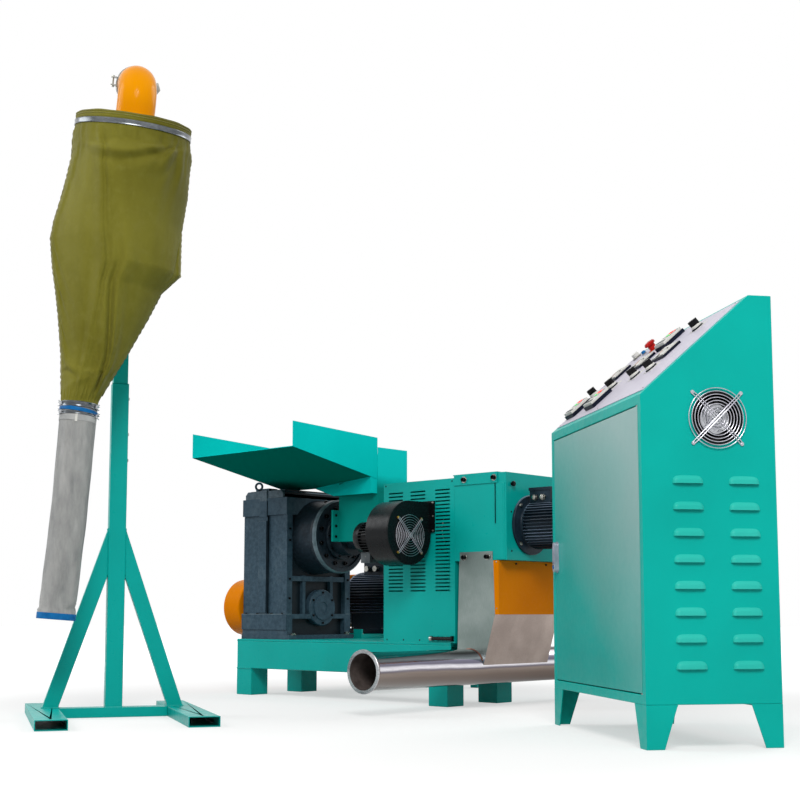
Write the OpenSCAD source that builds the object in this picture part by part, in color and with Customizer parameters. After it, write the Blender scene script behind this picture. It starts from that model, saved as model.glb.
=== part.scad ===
// Strand-free plastic granulator line: extruder-granulator on its base, control cabinet, pellet bag stand.
// +X runs along the screw toward the cutting head, +Y to the drive motor, +Z up.
// The origin is under the centre of the base's front left leg, on the floor.

/* [Base frame] */
// Length of the base frame
base_l = 1483; // [1420:1:1800]
// Width of the base frame
base_w = 475; // [460:1:600]
// Height of the deck above the floor
base_top = 289; // [250:1:400]
// Height of the side beams, deck plate included
beam_h = 152; // [100:1:180]
// Width of the side beams
beam_w = 75; // [60:1:100]
// Wall of the beams and legs
beam_wall = 6; // [4:0.5:10]
// Thickness of the deck plate
deck_t = 10; // [6:1:16]
// Side of the square legs
leg_w = 115; // [80:1:120]
// Gap from the right legs to the right end of the beams
leg_end_gap = 21; // [0:1:40]
// Length of the motor platform behind the base
platform_l = 570; // [520:1:700]
// Depth of the motor platform
platform_w = 875; // [820:1:1000]
// Side of the platform's square tubes
platform_tube = 50; // [40:1:60]

/* [Gearbox] */
// Length of the gearbox along the screw
gearbox_l = 345; // [340:1:400]
// Width of the gearbox
gearbox_w = 470; // [460:1:520]
// Height of the gearbox without its top cap
gearbox_h = 734; // [700:1:738]
// Height of the top cap
gearbox_cap_h = 45; // [30:1:48]
// Depth of the panels below the flanges
panel_depth = 12; // [6:1:20]
// Depth of the recess in the screw side
face_recess = 30; // [20:1:40]
// Radius of the thrust bearing housing at the gearbox
thrust_r = 195; // [180:1:200]
// Length of the thrust bearing housing
thrust_l = 165; // [140:1:200]
// Radius of the input bearing cover
bearing_cover_r = 95; // [70:1:100]

/* [Screw and hopper] */
// Height of the screw axis above the floor
screw_z = 820; // [810:1:900]
// Outer radius of the barrel
barrel_r = 70; // [60:1:80]
// Bore radius of the barrel
barrel_bore_r = 45; // [40:1:50]
// Radius of the collar between the thrust housing and the throat
collar_r = 100; // [90:1:110]
// Length of the feed throat box along the screw
throat_l = 275; // [240:1:300]
// Width of the feed throat box
throat_w = 217; // [210:1:240]
// Height of the throat's top above the floor
throat_top = 1025; // [1010:1:1060]
// Height of the hopper body's top above the floor
hopper_top = 1250; // [1230:1:1300]
// Length of the feeding tray along the screw
tray_l = 745; // [700:1:900]
// Reach of the tray in front of the throat
tray_reach = 577; // [500:1:700]
// Height of the tray's floor at its front edge
tray_front_z = 1207; // [1190:1:1260]
// Slope of the tray's floor in degrees
tray_slope = 11.1; // [9:0.1:12]
// Height of the tray's walls at the front
tray_wall_h = 118; // [90:1:130]
// Sheet thickness of the hopper and tray
sheet_t = 4; // [2:0.5:6]

/* [Barrel cover and cutting head] */
// Reach of the barrel cover past the base's right end
cover_overhang = 24; // [15:1:60]
// Length of the barrel cover
cover_l = 447; // [440:1:480]
// Width of the barrel cover
cover_w = 469; // [440:1:480]
// Height of the barrel cover's top above the floor
cover_top = 1043; // [1030:1:1080]
// Sheet thickness of the covers
cover_t = 3; // [2:0.5:5]
// Length of the cutting head cover
die_l = 300; // [290:1:340]
// Height of the cutting head cover's underside above the floor
die_bottom = 660; // [640:1:680]
// Height of the cutting head cover's top above the floor
die_top = 1052; // [1040:1:1080]
// Radius of the cutter motor's flange
cutter_flange_r = 135; // [115:1:150]
// Radius of the cutter motor's body over its fins
cutter_r = 110; // [90:1:120]
// Length of the cutter motor
cutter_l = 350; // [300:1:380]

/* [Blower] */
// Outer radius of the blower's scroll
blower_r = 147; // [130:1:150]
// Width of the blower's scroll
blower_l = 139; // [110:1:145]
// Height of the blower's axis above the floor
blower_z = 790; // [780:1:800]
// Radius of the blower's inlet
blower_inlet_r = 95; // [80:1:100]
// Radius of the blower's motor
blower_motor_r = 73; // [60:1:80]
// Length of the blower's motor
blower_motor_l = 170; // [150:1:180]

/* [Pellet chute and pipe] */
// Outer radius of the conveying pipe
pipe_r = 79.5; // [70:0.5:84]
// Wall of the conveying pipe
pipe_t = 3; // [2:0.5:4]
// Height of the conveying pipe's axis above the floor
pipe_z = 185; // [170:1:200]
// Reach of the pipe in front of the base
pipe_front = 690; // [600:1:800]
// Reach of the pipe behind the base's front
pipe_back = 900; // [700:1:1000]
// Radius of the pipe's end ferrules
ferrule_r = 91.5; // [88:0.5:95]
// Length of the chute at its top along the screw
chute_top_l = 198; // [180:1:210]
// Wall of the chute
chute_t = 3; // [2:0.5:4]
// Height of the chute's bend above the floor
chute_bend_z = 419; // [400:1:440]

/* [Drive] */
// Distance from the base's front to the main motor's axis
motor_y = 900; // [860:1:930]
// Height of the main motor's axis above its rails
motor_shaft_h = 180; // [176:1:190]
// Radius of the main motor's body over its fins
motor_r = 165; // [150:1:172]
// Length of the main motor
motor_l = 500; // [450:1:520]
// Height of the motor's slide rails
rail_h = 22; // [18:1:30]
// Radius of the belt guard's rounded ends
guard_r = 150; // [140:1:165]
// Width of the belt guard
guard_l = 130; // [110:1:160]

/* [Control cabinet] */
// Place of the cabinet's near corner from the base's front left corner
cabinet_at = [3173, -1038];
// Turn of the cabinet about the upright axis
cabinet_turn = 52.75; // [50:0.25:56]
// Width of the cabinet's door side
cabinet_w = 1000; // [900:1:1100]
// Depth of the cabinet
cabinet_d = 460; // [440:1:520]
// Height of the cabinet's feet
cabinet_foot_h = 139; // [100:1:160]
// Height of the door side's top above the floor
cabinet_front_h = 1130; // [1100:1:1200]
// Overall height of the cabinet
cabinet_h = 1470; // [1440:1:1550]
// Depth of the flat top behind the console
cabinet_top_d = 80; // [60:1:100]
// Sheet thickness of the cabinet
cabinet_t = 3; // [2:0.5:4]
// Border left around the door
door_border = 30; // [25:1:40]
// Gap between the door and its frame
door_gap = 4; // [3:0.5:6]
// Depth of the door leaf
door_d = 20; // [16:1:24]
// Radius of the hinge pins
pin_r = 4; // [3:0.5:5]
// Running clearance of pins and shafts
running_gap = 0.05; // [0.02:0.01:0.1]
// Height of the fan's axis above the floor
fan_z = 1057; // [1020:1:1060]
// Distance of the fan's axis from the door side
fan_x = 260; // [250:1:270]
// Radius of the fan's opening in the side wall
fan_r = 80; // [70:1:84]

/* [Bag stand] */
// Place of the stand's post from the base's front left corner
stand_at = [798, -1354];
// Turn of the stand about the upright axis
stand_turn = 59.9; // [56:0.1:64]
// Distance between the centres of the two feet
foot_spacing = 560; // [500:1:640]
// Width of the feet
foot_w = 120; // [100:1:140]
// Height of the feet
foot_h = 40; // [30:1:50]
// Reach of the feet in front of the post
foot_front = 630; // [560:1:700]
// Reach of the feet behind the post
foot_back = 330; // [280:1:400]
// Side of the outer post
post_w = 70; // [64:1:80]
// Height of the outer post's top above the floor
post_h = 1390; // [1300:1:1500]
// Wall of the posts
post_wall = 4; // [3:0.5:5]
// Clearance between the sliding inner post and the outer post
slide_gap = 0.5; // [0.3:0.1:0.8]
// Height of the bag's top plate above the floor
ring_z = 2405; // [2350:1:2550]
// Radius of the bag's top plate
ring_r = 228; // [210:1:245]
// Reach of the bag's axis in front of the post
bag_reach = 330; // [320:1:380]
// Offset of the bag's top to the left of the post
bag_offset = 0; // [0:1:60]
// Sideways tilt of the bag's top
ring_tilt = 4; // [0:0.5:6]
// Forward lean of the bag's top
ring_lean = 11; // [0:0.5:14]
// Height of the bag's neck above the floor
neck_z = 1262; // [1200:1:1300]
// Radius of the bag's neck and sleeve
neck_r = 72; // [64:1:80]
// Sideways run of the bag from its top to its neck
neck_run = 188; // [160:1:220]
// Lean of the sleeve from upright
sleeve_lean = 4.6; // [0:0.1:6]
// Length of the sleeve
sleeve_l = 866; // [700:1:900]
// Outer radius of the inlet elbow
elbow_r = 78.5; // [70:0.5:82]
// Wall of the inlet elbow
elbow_t = 3; // [2:0.5:4]
// Bend radius of the inlet elbow
elbow_bend = 100; // [95:1:120]

/* [Hidden] */
$fn = 64;
eps = 1;
seat = 0.3;                       // clearance of a seated round or soft piece

// heights and places of the base
beam_z = base_top - beam_h;
beam_top = base_top - deck_t;
leg_right_x = base_l - leg_end_gap - leg_w;
rib_h = 60;
rib_w = 50;

// gearbox
gearbox_x = 10;
gearbox_y = 20;
gearbox_end = gearbox_x + gearbox_l;
gearbox_top = base_top + gearbox_h;
face_x = gearbox_end - face_recess;
band_low_z = base_top + 49;
split_z = base_top + 130;
band_high_z = gearbox_top - 89;
screw_y = gearbox_y + gearbox_w / 2;
thrust_end = gearbox_end + thrust_l;
bearing_y = gearbox_y + 258;
bearing_z = base_top + 163;

// throat, hopper and tray
flange_x = thrust_end + 50;
throat_x = flange_x + 40;
throat_end = throat_x + throat_l;
throat_y = screw_y - throat_w / 2;
throat_back = throat_y + throat_w;
throat_bottom = screw_z - 34;
mouth_in = 40;
tray_end = throat_end - 3;
tray_x = tray_end - tray_l;
tray_y = throat_y - sheet_t - tray_reach + 4;
tray_back = throat_y + 70;
function tray_floor(y) = tray_front_z - (y - tray_y) * tan(tray_slope);
function tray_rim(y) = tray_front_z + tray_wall_h - (y - tray_y) * 0.047;

// covers
cover_y = 3;
cover_end = base_l + cover_overhang;
cover_x = cover_end - cover_l;
cover_back = cover_y + cover_w;
die_end = cover_end + die_l;
barrel_end = cover_end + 90;
cutter_y = screw_y - 80;
blower_x = cover_x + 171;
blower_end = blower_x + blower_l;
blower_y = cover_y - 8 - 150;
blower_axis_z = blower_z - 13;    // inlet and motor sit below the scroll's centre
outlet_top = blower_z + blower_r;
outlet_h = 135;

// pipe and chute
pipe_x = cover_end + 88;
chute_x = cover_end + 28;
chute_low_x = pipe_x - 75;
chute_low_end = pipe_x + 78;
chute_top_end = chute_x + chute_top_l;
chute_bend_end = chute_top_end + 8;
chute_w = cover_back + chute_t;
tab_h = 40;

// drive
guard_x = -guard_l;
guard_pts = [[157, base_top + 165.5], [motor_y, base_top + rail_h + motor_shaft_h + 4]];
motor_x = 20;
motor_z = base_top + rail_h + motor_shaft_h;

// cabinet
slope_run = cabinet_d - cabinet_top_d;
slope_rise = cabinet_h - cabinet_front_h;
slope_a = atan2(slope_rise, slope_run);
slope_l = norm([slope_run, slope_rise]);
frame_d = door_d + 8;
door_y = door_border + door_gap;
door_w = cabinet_w - 2 * door_y;
opening_z = cabinet_foot_h + 31;
opening_top = cabinet_front_h - 32;
door_z = opening_z + door_gap;
door_h = opening_top - door_gap - door_z;
pin_in = 7;
hinge_at = [pin_in, door_y + pin_in];
instrument_t = 3;
rotor_r = fan_r - 8;
fan_depth = 50;
boss_t = 8;
hub_l = 24;
hub_z = fan_depth - boss_t - seat - hub_l;
hub_floor = 2;

// stand
foot_x = foot_spacing / 2;
inner_w = post_w - 2 * post_wall - 2 * slide_gap;
inner_z = post_h - 690;
inner_top = ring_z + bag_reach * tan(ring_lean) + 45;
elbow_leg = 82;
sleeve_top = [-bag_offset - neck_run, -bag_reach, neck_z];

module line() {
  translate([-leg_w / 2, -leg_w / 2, 0]) children();
}

module at_cabinet() {
  line() translate([cabinet_at[0], cabinet_at[1], 0]) rotate([0, 0, cabinet_turn]) children();
}

module at_stand() {
  line() translate([stand_at[0], stand_at[1], 0]) rotate([0, 0, stand_turn]) children();
}

// frame of the bag's tilted top: origin at the centre of the plate's underside
module at_ring() {
  at_stand() translate([-bag_offset, -bag_reach, ring_z]) rotate([ring_lean, ring_tilt, 0]) children();
}

// frame of the sleeve: origin at its top centre, running down its own -Z
module at_sleeve() {
  at_stand() translate(sleeve_top) rotate([0, sleeve_lean, 0]) children();
}

// frame of the console's slope: x up the slope, y across, z out of it
module on_slope() {
  at_cabinet() translate([0, 0, cabinet_front_h]) rotate([0, -slope_a, 0]) children();
}

module tube_x(size, wall) {
  difference() {
    cube(size);
    translate([-eps, wall, wall]) cube([size[0] + 2 * eps, size[1] - 2 * wall, size[2] - 2 * wall]);
  }
}

module tube_y(size, wall) {
  difference() {
    cube(size);
    translate([wall, -eps, wall]) cube([size[0] - 2 * wall, size[1] + 2 * eps, size[2] - 2 * wall]);
  }
}

module tube_z(size, wall) {
  difference() {
    cube(size);
    translate([wall, wall, -eps]) cube([size[0] - 2 * wall, size[1] - 2 * wall, size[2] + 2 * eps]);
  }
}

// cylinder along +X from x0 to x1
module cyl_x(x0, x1, r, y, z, r2 = 0) {
  translate([x0, y, z]) rotate([0, 90, 0])
    cylinder(h = x1 - x0, r1 = r, r2 = r2 > 0 ? r2 : r);
}

// plate of an XZ outline between two Y planes
module plate_xz(points, y0, y1) {
  translate([0, y1, 0]) rotate([90, 0, 0]) linear_extrude(height = y1 - y0) polygon(points);
}

// plate of a YZ outline between two X planes
module plate_yz(points, x0, x1) {
  translate([x0, 0, 0]) rotate([90, 0, 90]) linear_extrude(height = x1 - x0) polygon(points);
}

module base_front_beam() {
  color("darkcyan") line() translate([0, 0, beam_z]) tube_x([base_l, beam_w, beam_top - beam_z], beam_wall);
}

module base_rear_beam() {
  color("darkcyan") line() translate([0, base_w - beam_w, beam_z])
    tube_x([base_l, beam_w, beam_top - beam_z], beam_wall);
}

module base_deck() {
  rib_gap = (base_l - rib_w) / 4;
  color("darkcyan") line() {
    translate([0, 0, beam_top]) cube([base_l, base_w, deck_t]);
    for (i = [0:4]) translate([i * rib_gap, beam_w, beam_top - rib_h])
      cube([rib_w, base_w - 2 * beam_w, rib_h + eps]);
  }
}

module base_legs() {
  color("darkcyan") line()
    for (x = [0, leg_right_x], y = [0, base_w - leg_w]) translate([x, y, 0]) difference() {
      cube([leg_w, leg_w, beam_z]);
      translate([beam_wall, beam_wall, beam_wall])
        cube([leg_w - 2 * beam_wall, leg_w - 2 * beam_wall, beam_z]);
    }
}

module motor_platform() {
  top_t = 8;
  color("darkcyan") line() translate([0, base_w, 0]) {
    translate([0, 0, base_top - top_t]) cube([platform_l, platform_w, top_t]);
    for (x = [0, platform_l - platform_tube]) translate([x, 0, base_top - top_t - platform_tube])
      cube([platform_tube, platform_w, platform_tube + eps]);
  }
}

module platform_legs() {
  h = base_top - 8 - platform_tube;
  color("darkcyan") line()
    for (x = [0, platform_l - platform_tube])
      translate([x, base_w + platform_w - platform_tube, 0])
        cube([platform_tube, platform_tube, h]);
}

module motor_rails() {
  rail_w = 60;
  rail_y = base_w + 45;
  rail_l = platform_w - 120;
  color("darkcyan") line()
    for (x = [motor_x + 90, motor_x + motor_l - 170]) {
      translate([x, rail_y, base_top]) cube([rail_w, rail_l, rail_h]);
      for (y = [rail_y, rail_y + rail_l - 12]) translate([x, y, base_top]) cube([rail_w, 12, rail_h + 26]);
    }
}

module gearbox_housing() {
  wall_y = gearbox_y + gearbox_w;
  side_w = 38;
  color("slategray") line() difference() {
    union() {
      // body behind the flanges, with its foot
      translate([gearbox_x, gearbox_y + panel_depth, base_top])
        cube([gearbox_l - face_recess, gearbox_w - 2 * panel_depth, gearbox_h]);
      translate([gearbox_x, gearbox_y, base_top]) cube([gearbox_l + 25, gearbox_w, 22]);
      translate([gearbox_x, gearbox_y + 6, base_top]) cube([gearbox_l, gearbox_w - 12, 50]);
      // bands above and below the panels
      translate([gearbox_x, gearbox_y, band_low_z]) cube([gearbox_l, gearbox_w, split_z - band_low_z]);
      translate([gearbox_x, gearbox_y, band_high_z]) cube([gearbox_l, gearbox_w, gearbox_top - band_high_z]);
      // upright ribs and edges
      for (y = [gearbox_y, wall_y - panel_depth - eps])
        translate([gearbox_x + gearbox_l / 2 - 25, y, split_z])
          cube([50, panel_depth + eps, band_high_z - split_z]);
      for (y = [gearbox_y + 4, wall_y - side_w - 4])
        translate([face_x - eps, y, split_z]) cube([face_recess + eps, side_w, band_high_z - split_z]);
      translate([face_x - eps, gearbox_y + 40, base_top + 300]) cube([face_recess - 4, gearbox_w - 80, 26]);
      for (y = [screw_y - 110, screw_y + 90])
        translate([face_x - eps, y, split_z]) cube([face_recess - 8, 20, 200]);
      // bosses that carry the belt guard
      cyl_x(0, gearbox_x + eps, 50, guard_pts[0][0] + 40, guard_pts[0][1]);
    }
    // window in the lower band between the foot and the bearing cover
    translate([face_x, gearbox_y + 45, base_top + 22]) cube([face_recess + eps, gearbox_w - 90, split_z - base_top - 46]);
    cyl_x(face_x, gearbox_end + 30, thrust_r + seat, screw_y, screw_z);
    cyl_x(face_x, gearbox_end + 30, bearing_cover_r + seat, bearing_y, bearing_z);
  }
}

module gearbox_cap() {
  color("slategray") line() {
    translate([gearbox_x + 15, gearbox_y + 15, gearbox_top])
      cube([gearbox_l - face_recess - 18, gearbox_w - 30, gearbox_cap_h - 14]);
    translate([gearbox_x + 30, gearbox_y + 30, gearbox_top])
      cube([gearbox_l - face_recess - 48, gearbox_w - 60, gearbox_cap_h]);
    translate([gearbox_x + gearbox_l / 2 - 28, gearbox_y + 5, gearbox_top]) cube([56, 60, gearbox_cap_h + 8]);
    // lifting eye
    translate([gearbox_x + 65, gearbox_y + 55, gearbox_top + gearbox_cap_h - 2]) {
      cylinder(h = 14, r = 16);
      translate([0, 0, 30]) rotate([90, 0, 30]) rotate_extrude() translate([18, 0]) circle(r = 6, $fn = 24);
    }
  }
}

module bearing_cover() {
  color("slategray") line() {
    cyl_x(face_x, face_x + 34, bearing_cover_r, bearing_y, bearing_z);
    cyl_x(face_x + 34 - eps, face_x + 40, bearing_cover_r - 30, bearing_y, bearing_z);
  }
}

module thrust_housing() {
  rim = 40;
  x0 = face_x;
  color("slategray") line() difference() {
    translate([0, screw_y, screw_z]) rotate([90, 0, 90]) rotate_extrude()
      polygon([[0, x0], [thrust_r, x0], [thrust_r - 14, thrust_end - rim], [thrust_r - 4, thrust_end - rim],
               [thrust_r - 4, thrust_end - 8], [thrust_r - 12, thrust_end], [thrust_r - 30, thrust_end],
               [thrust_r - 30, thrust_end - 12], [0, thrust_end - 12]]);
    cyl_x(thrust_end - 60, thrust_end + eps, barrel_bore_r, screw_y, screw_z);
  }
}

module barrel() {
  slot_l = throat_l - 2 * mouth_in;
  color("dimgray") line() difference() {
    union() {
      cyl_x(thrust_end - 12, throat_x, collar_r, screw_y, screw_z);
      cyl_x(throat_x - eps, barrel_end, barrel_r, screw_y, screw_z);
      cyl_x(cover_end - 60, barrel_end, barrel_r + 25, screw_y, screw_z);
    }
    cyl_x(thrust_end - 12 - eps, barrel_end - 30, barrel_bore_r, screw_y, screw_z);
    translate([throat_x + mouth_in, screw_y - 35, screw_z]) cube([slot_l, 70, barrel_r + 10]);
  }
}

module feed_screw() {
  core_r = barrel_bore_r - seat;
  color("silver") line() cyl_x(thrust_end - 59, barrel_end - 31, core_r, screw_y, screw_z);
}

module feed_throat() {
  flange_t = 12;
  color("darkcyan") line() difference() {
    union() {
      translate([throat_x, throat_y, throat_bottom]) cube([throat_l, throat_w, throat_top - throat_bottom]);
      translate([throat_x - flange_t, throat_y - 43, throat_bottom]) cube([flange_t + eps, throat_w + 86, 160]);
    }
    cyl_x(throat_x - eps, throat_end + eps, barrel_r + seat, screw_y, screw_z);
    cyl_x(throat_x - flange_t - eps, throat_x, collar_r + seat, screw_y, screw_z);
    translate([throat_x + mouth_in, throat_y + mouth_in, screw_z])
      cube([throat_l - 2 * mouth_in, throat_w - 2 * mouth_in, throat_top - screw_z + eps]);
  }
}

module hopper_body() {
  front_top = tray_floor(throat_y);
  color("lightseagreen") line() translate([throat_x, throat_y, throat_top]) difference() {
    cube([throat_l, throat_w, hopper_top - throat_top]);
    translate([sheet_t, sheet_t, -eps])
      cube([throat_l - 2 * sheet_t, throat_w - 2 * sheet_t, hopper_top - throat_top + 2 * eps]);
    translate([sheet_t, -eps, front_top - throat_top])
      cube([throat_l - 2 * sheet_t, sheet_t + 2 * eps, hopper_top - front_top + eps]);
  }
}

module hopper_tray() {
  y1 = throat_y;
  y2 = tray_back - sheet_t;
  under = sheet_t / 2;
  funnel_x = gearbox_end + 20;
  color("darkcyan") line() {
    // sloping floor with a wall at its left end, its right end and behind
    difference() {
      plate_yz([[tray_y, tray_front_z - sheet_t], [tray_y, tray_rim(tray_y)], [tray_back, tray_rim(tray_back)],
                [tray_back, tray_floor(tray_back) - sheet_t]], tray_x, tray_end);
      plate_yz([[tray_y - 5, tray_floor(tray_y - 5)], [tray_y - 5, tray_rim(tray_y) + 50],
                [y2, tray_rim(tray_y) + 50], [y2, tray_floor(y2)]], tray_x + sheet_t, tray_end - sheet_t);
      translate([throat_x, y1, 0]) cube([throat_l, throat_w, 2 * hopper_top]);
    }
    // funnel below the floor, down to the throat
    difference() {
      hull() {
        plate_yz([[y2 - 6, tray_floor(y2 - 6) - under], [y2, tray_floor(y2) - under],
                  [y2, tray_floor(y2) - 2 * sheet_t], [y2 - 6, tray_floor(y2 - 6) - 2 * sheet_t]],
                 funnel_x, funnel_x + 6);
        plate_yz([[y1 - 46, tray_floor(y1 - 46) - under], [y1, tray_floor(y1) - under],
                  [y1, tray_floor(y1) - 2 * sheet_t], [y1 - 46, tray_floor(y1 - 46) - 2 * sheet_t]],
                 tray_end - 8, tray_end - 2);
        translate([throat_x, y1 - 40, throat_top - 8]) cube([tray_end - throat_x - 2, 40, 4]);
      }
      translate([throat_x, y1, 0]) cube([throat_l, throat_w, hopper_top]);
    }
  }
}

module barrel_cover() {
  color("lightseagreen") line() difference() {
    translate([cover_x, cover_y, base_top]) cube([cover_l, cover_w, cover_top - base_top]);
    translate([cover_x + cover_t, cover_y + cover_t, base_top - eps])
      cube([cover_l - 2 * cover_t, cover_w - 2 * cover_t, cover_top - base_top - cover_t + eps]);
    cyl_x(cover_x - eps, cover_x + cover_t + eps, barrel_r + 3, screw_y, screw_z);
    cyl_x(cover_end - cover_t - eps, cover_end + eps, barrel_r + 28, screw_y, screw_z);
    // outlet of the blower
    translate([blower_x + 10, cover_y - eps, outlet_top - outlet_h + 10])
      cube([blower_l - 20, cover_t + 2 * eps, outlet_h - 20]);
  }
}

module cover_latch() {
  color("black") line() translate([cover_end - 148, cover_y - 14, base_top + 14]) cube([140, 14, 24]);
}

module die_cover() {
  color("lightseagreen") line() difference() {
    translate([cover_end, cover_y, die_bottom]) cube([die_l, cover_w, die_top - die_bottom]);
    translate([cover_end + cover_t, cover_y + cover_t, die_bottom + cover_t])
      cube([die_l - 2 * cover_t, cover_w - 2 * cover_t, die_top - die_bottom - 2 * cover_t]);
    cyl_x(cover_end - eps, cover_end + cover_t + eps, barrel_r + 28, screw_y, screw_z);
    cyl_x(die_end - cover_t - eps, die_end + eps, 60, cutter_y, screw_z);
    // mouth over the chute
    translate([chute_x + chute_t, cover_y + cover_t, die_bottom - eps])
      cube([chute_top_l - 2 * chute_t, cover_w - 2 * cover_t, cover_t + 2 * eps]);
  }
}

module die_lid() {
  lid_l = die_l - 47;
  flange_h = 46;
  color("lightseagreen") line() translate([cover_end, 0, die_top]) {
    translate([-6, cover_y - 5, 0]) cube([lid_l + 6, cover_w + 10, 4]);
    translate([0, cover_y - 5, -flange_h]) cube([lid_l, 5, flange_h + eps]);
    translate([0, cover_back, -flange_h]) cube([lid_l, 5, flange_h + eps]);
  }
}

module cutter_motor() {
  color("darkslategray") line() {
    cyl_x(die_end, die_end + 14, cutter_flange_r, cutter_y, screw_z);
    cyl_x(die_end + 13, die_end + 30, cutter_r - 20, cutter_y, screw_z, cutter_r);
    cyl_x(die_end + 30 - eps, die_end + cutter_l - 90, cutter_r, cutter_y, screw_z);
    cyl_x(die_end + cutter_l - 90 - eps, die_end + cutter_l - 20, cutter_r + 4, cutter_y, screw_z);
    cyl_x(die_end + cutter_l - 20 - eps, die_end + cutter_l, cutter_r + 4, cutter_y, screw_z, cutter_r - 16);
    translate([die_end + 40, cutter_y - 60, screw_z + cutter_r - 25]) cube([120, 120, 80]);
  }
}

module blower_housing() {
  flange_y = cover_y - 8;
  color("black") line() difference() {
    union() {
      cyl_x(blower_x, blower_end, blower_r, blower_y, blower_z);
      translate([blower_x, blower_y, outlet_top - outlet_h]) cube([blower_l, flange_y - blower_y + eps, outlet_h]);
      translate([blower_x - 9, flange_y, outlet_top - outlet_h - 5]) cube([blower_l + 27, 8, outlet_h + 12]);
    }
    cyl_x(blower_end - 30, blower_end + eps, blower_inlet_r, blower_y, blower_axis_z);
  }
}

module blower_motor() {
  color("black") line() {
    cyl_x(blower_x - blower_motor_l + 20, blower_x, blower_motor_r, blower_y, blower_axis_z);
    cyl_x(blower_x - blower_motor_l, blower_x - blower_motor_l + 20 + eps, blower_motor_r - 18, blower_y,
          blower_axis_z, blower_motor_r);
  }
}

module capacitor_box() {
  color("gray") line() difference() {
    translate([blower_x - blower_motor_l + 22, blower_y - 22, blower_axis_z - blower_motor_r - 46]) cube([58, 44, 52]);
    cyl_x(blower_x - blower_motor_l + 10, blower_x, blower_motor_r + seat, blower_y, blower_axis_z);
  }
}

module blower_guard() {
  ring_step = (blower_inlet_r + 8 - 25) / 4;
  color("silver") line() translate([blower_end + 2, blower_y, blower_axis_z]) rotate([0, 90, 0]) {
    for (i = [0:4]) rotate_extrude() translate([25 + i * ring_step, 0]) circle(r = 2, $fn = 16);
    for (a = [45, 135]) rotate([0, 0, a]) translate([-blower_inlet_r - 22, -5, -2])
      cube([2 * blower_inlet_r + 44, 10, 5]);
  }
}

module main_motor() {
  color("midnightblue") line() {
    cyl_x(0, motor_x + eps, 30, motor_y, motor_z);
    cyl_x(motor_x, motor_x + 40, motor_r - 25, motor_y, motor_z, motor_r);
    cyl_x(motor_x + 40 - eps, motor_x + motor_l - 110, motor_r, motor_y, motor_z);
    cyl_x(motor_x + motor_l - 110 - eps, motor_x + motor_l - 25, motor_r + 4, motor_y, motor_z);
    cyl_x(motor_x + motor_l - 25 - eps, motor_x + motor_l, motor_r + 4, motor_y, motor_z, motor_r - 20);
    for (y = [motor_y - 160, motor_y + 80])
      translate([motor_x + 80, y, base_top + rail_h]) cube([motor_l - 240, 80, 28]);
    for (y = [motor_y - 150, motor_y + 120])
      translate([motor_x + 80, y, base_top + rail_h]) cube([motor_l - 240, 30, 110]);
    translate([motor_x + 110, motor_y - 80, motor_z + motor_r - 30]) cube([150, 160, 105]);
  }
}

module belt_guard() {
  a = guard_pts[0];
  b = guard_pts[1];
  color("orange") line() {
    cyl_x(guard_x, 0, guard_r, a[0], a[1]);
    cyl_x(guard_x, 0, guard_r, b[0], b[1]);
    translate([guard_x, a[0], a[1]]) rotate([atan2(b[1] - a[1], b[0] - a[0]), 0, 0])
      translate([0, 0, 0.05 - guard_r]) cube([guard_l, norm(b - a), 2 * guard_r - 0.1]);
  }
}

// outline of the chute seen from the front, in by a wall
function chute_outline(t, low, high) = [
  [chute_low_x + t, low], [chute_x + t, die_bottom], [chute_x + t, high],
  [chute_top_end - t, high], [chute_top_end - t, die_bottom],
  [chute_bend_end - t, chute_bend_z], [chute_low_end - t, low]];

module pellet_chute() {
  low = pipe_z + 6;
  color("silver") line() difference() {
    union() {
      difference() {
        plate_xz(chute_outline(0, low, die_bottom + eps), 0, chute_w);
        plate_xz(chute_outline(chute_t, low - eps, die_bottom + 2 * eps), chute_t, chute_w - chute_t);
        translate([0, -eps, die_bottom]) cube([2 * die_end, chute_w + 2 * eps, 2 * eps]);
      }
      // tabs over the cutting head cover
      for (y = [0, chute_w - chute_t]) translate([chute_x + 4, y, die_bottom - 30])
        cube([chute_top_l - 8, chute_t, 30 + tab_h]);
    }
    translate([pipe_x, -eps, pipe_z]) rotate([-90, 0, 0]) cylinder(h = chute_w + 2 * eps, r = pipe_r + 0.1);
  }
}

module chute_guard() {
  t = 3;
  bottom = chute_bend_z;
  top = die_bottom - 1;
  face = chute_top_end + 30;
  color("orange") line() {
    translate([face - t, 0, bottom]) cube([t, chute_w - 20, top - bottom]);
    for (y = [0, chute_w - 20 - t])
      plate_xz([[chute_bend_end + 0.1, bottom], [face, bottom], [face, top], [chute_top_end + 0.1, top]], y, y + t);
  }
}

module conveying_pipe() {
  lip = 6;
  bore_r = pipe_r - pipe_t;
  color("silver") line() translate([pipe_x, -pipe_front, pipe_z]) rotate([-90, 0, 0]) difference() {
    union() {
      cylinder(h = pipe_front + pipe_back, r = pipe_r);
      for (z = [0, pipe_front + pipe_back - lip]) translate([0, 0, z]) cylinder(h = lip, r = ferrule_r);
      translate([0, 0, lip - eps]) cylinder(h = 8, r1 = ferrule_r - 2, r2 = pipe_r);
      translate([0, 0, pipe_front + pipe_back - lip - 7]) cylinder(h = 8, r1 = pipe_r, r2 = ferrule_r - 2);
    }
    translate([0, 0, -eps]) cylinder(h = pipe_front + pipe_back + 2 * eps, r = bore_r);
    // window under the chute
    translate([-40, -pipe_r - eps, pipe_front + 40]) cube([80, 30, chute_w - 80]);
  }
}

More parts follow.
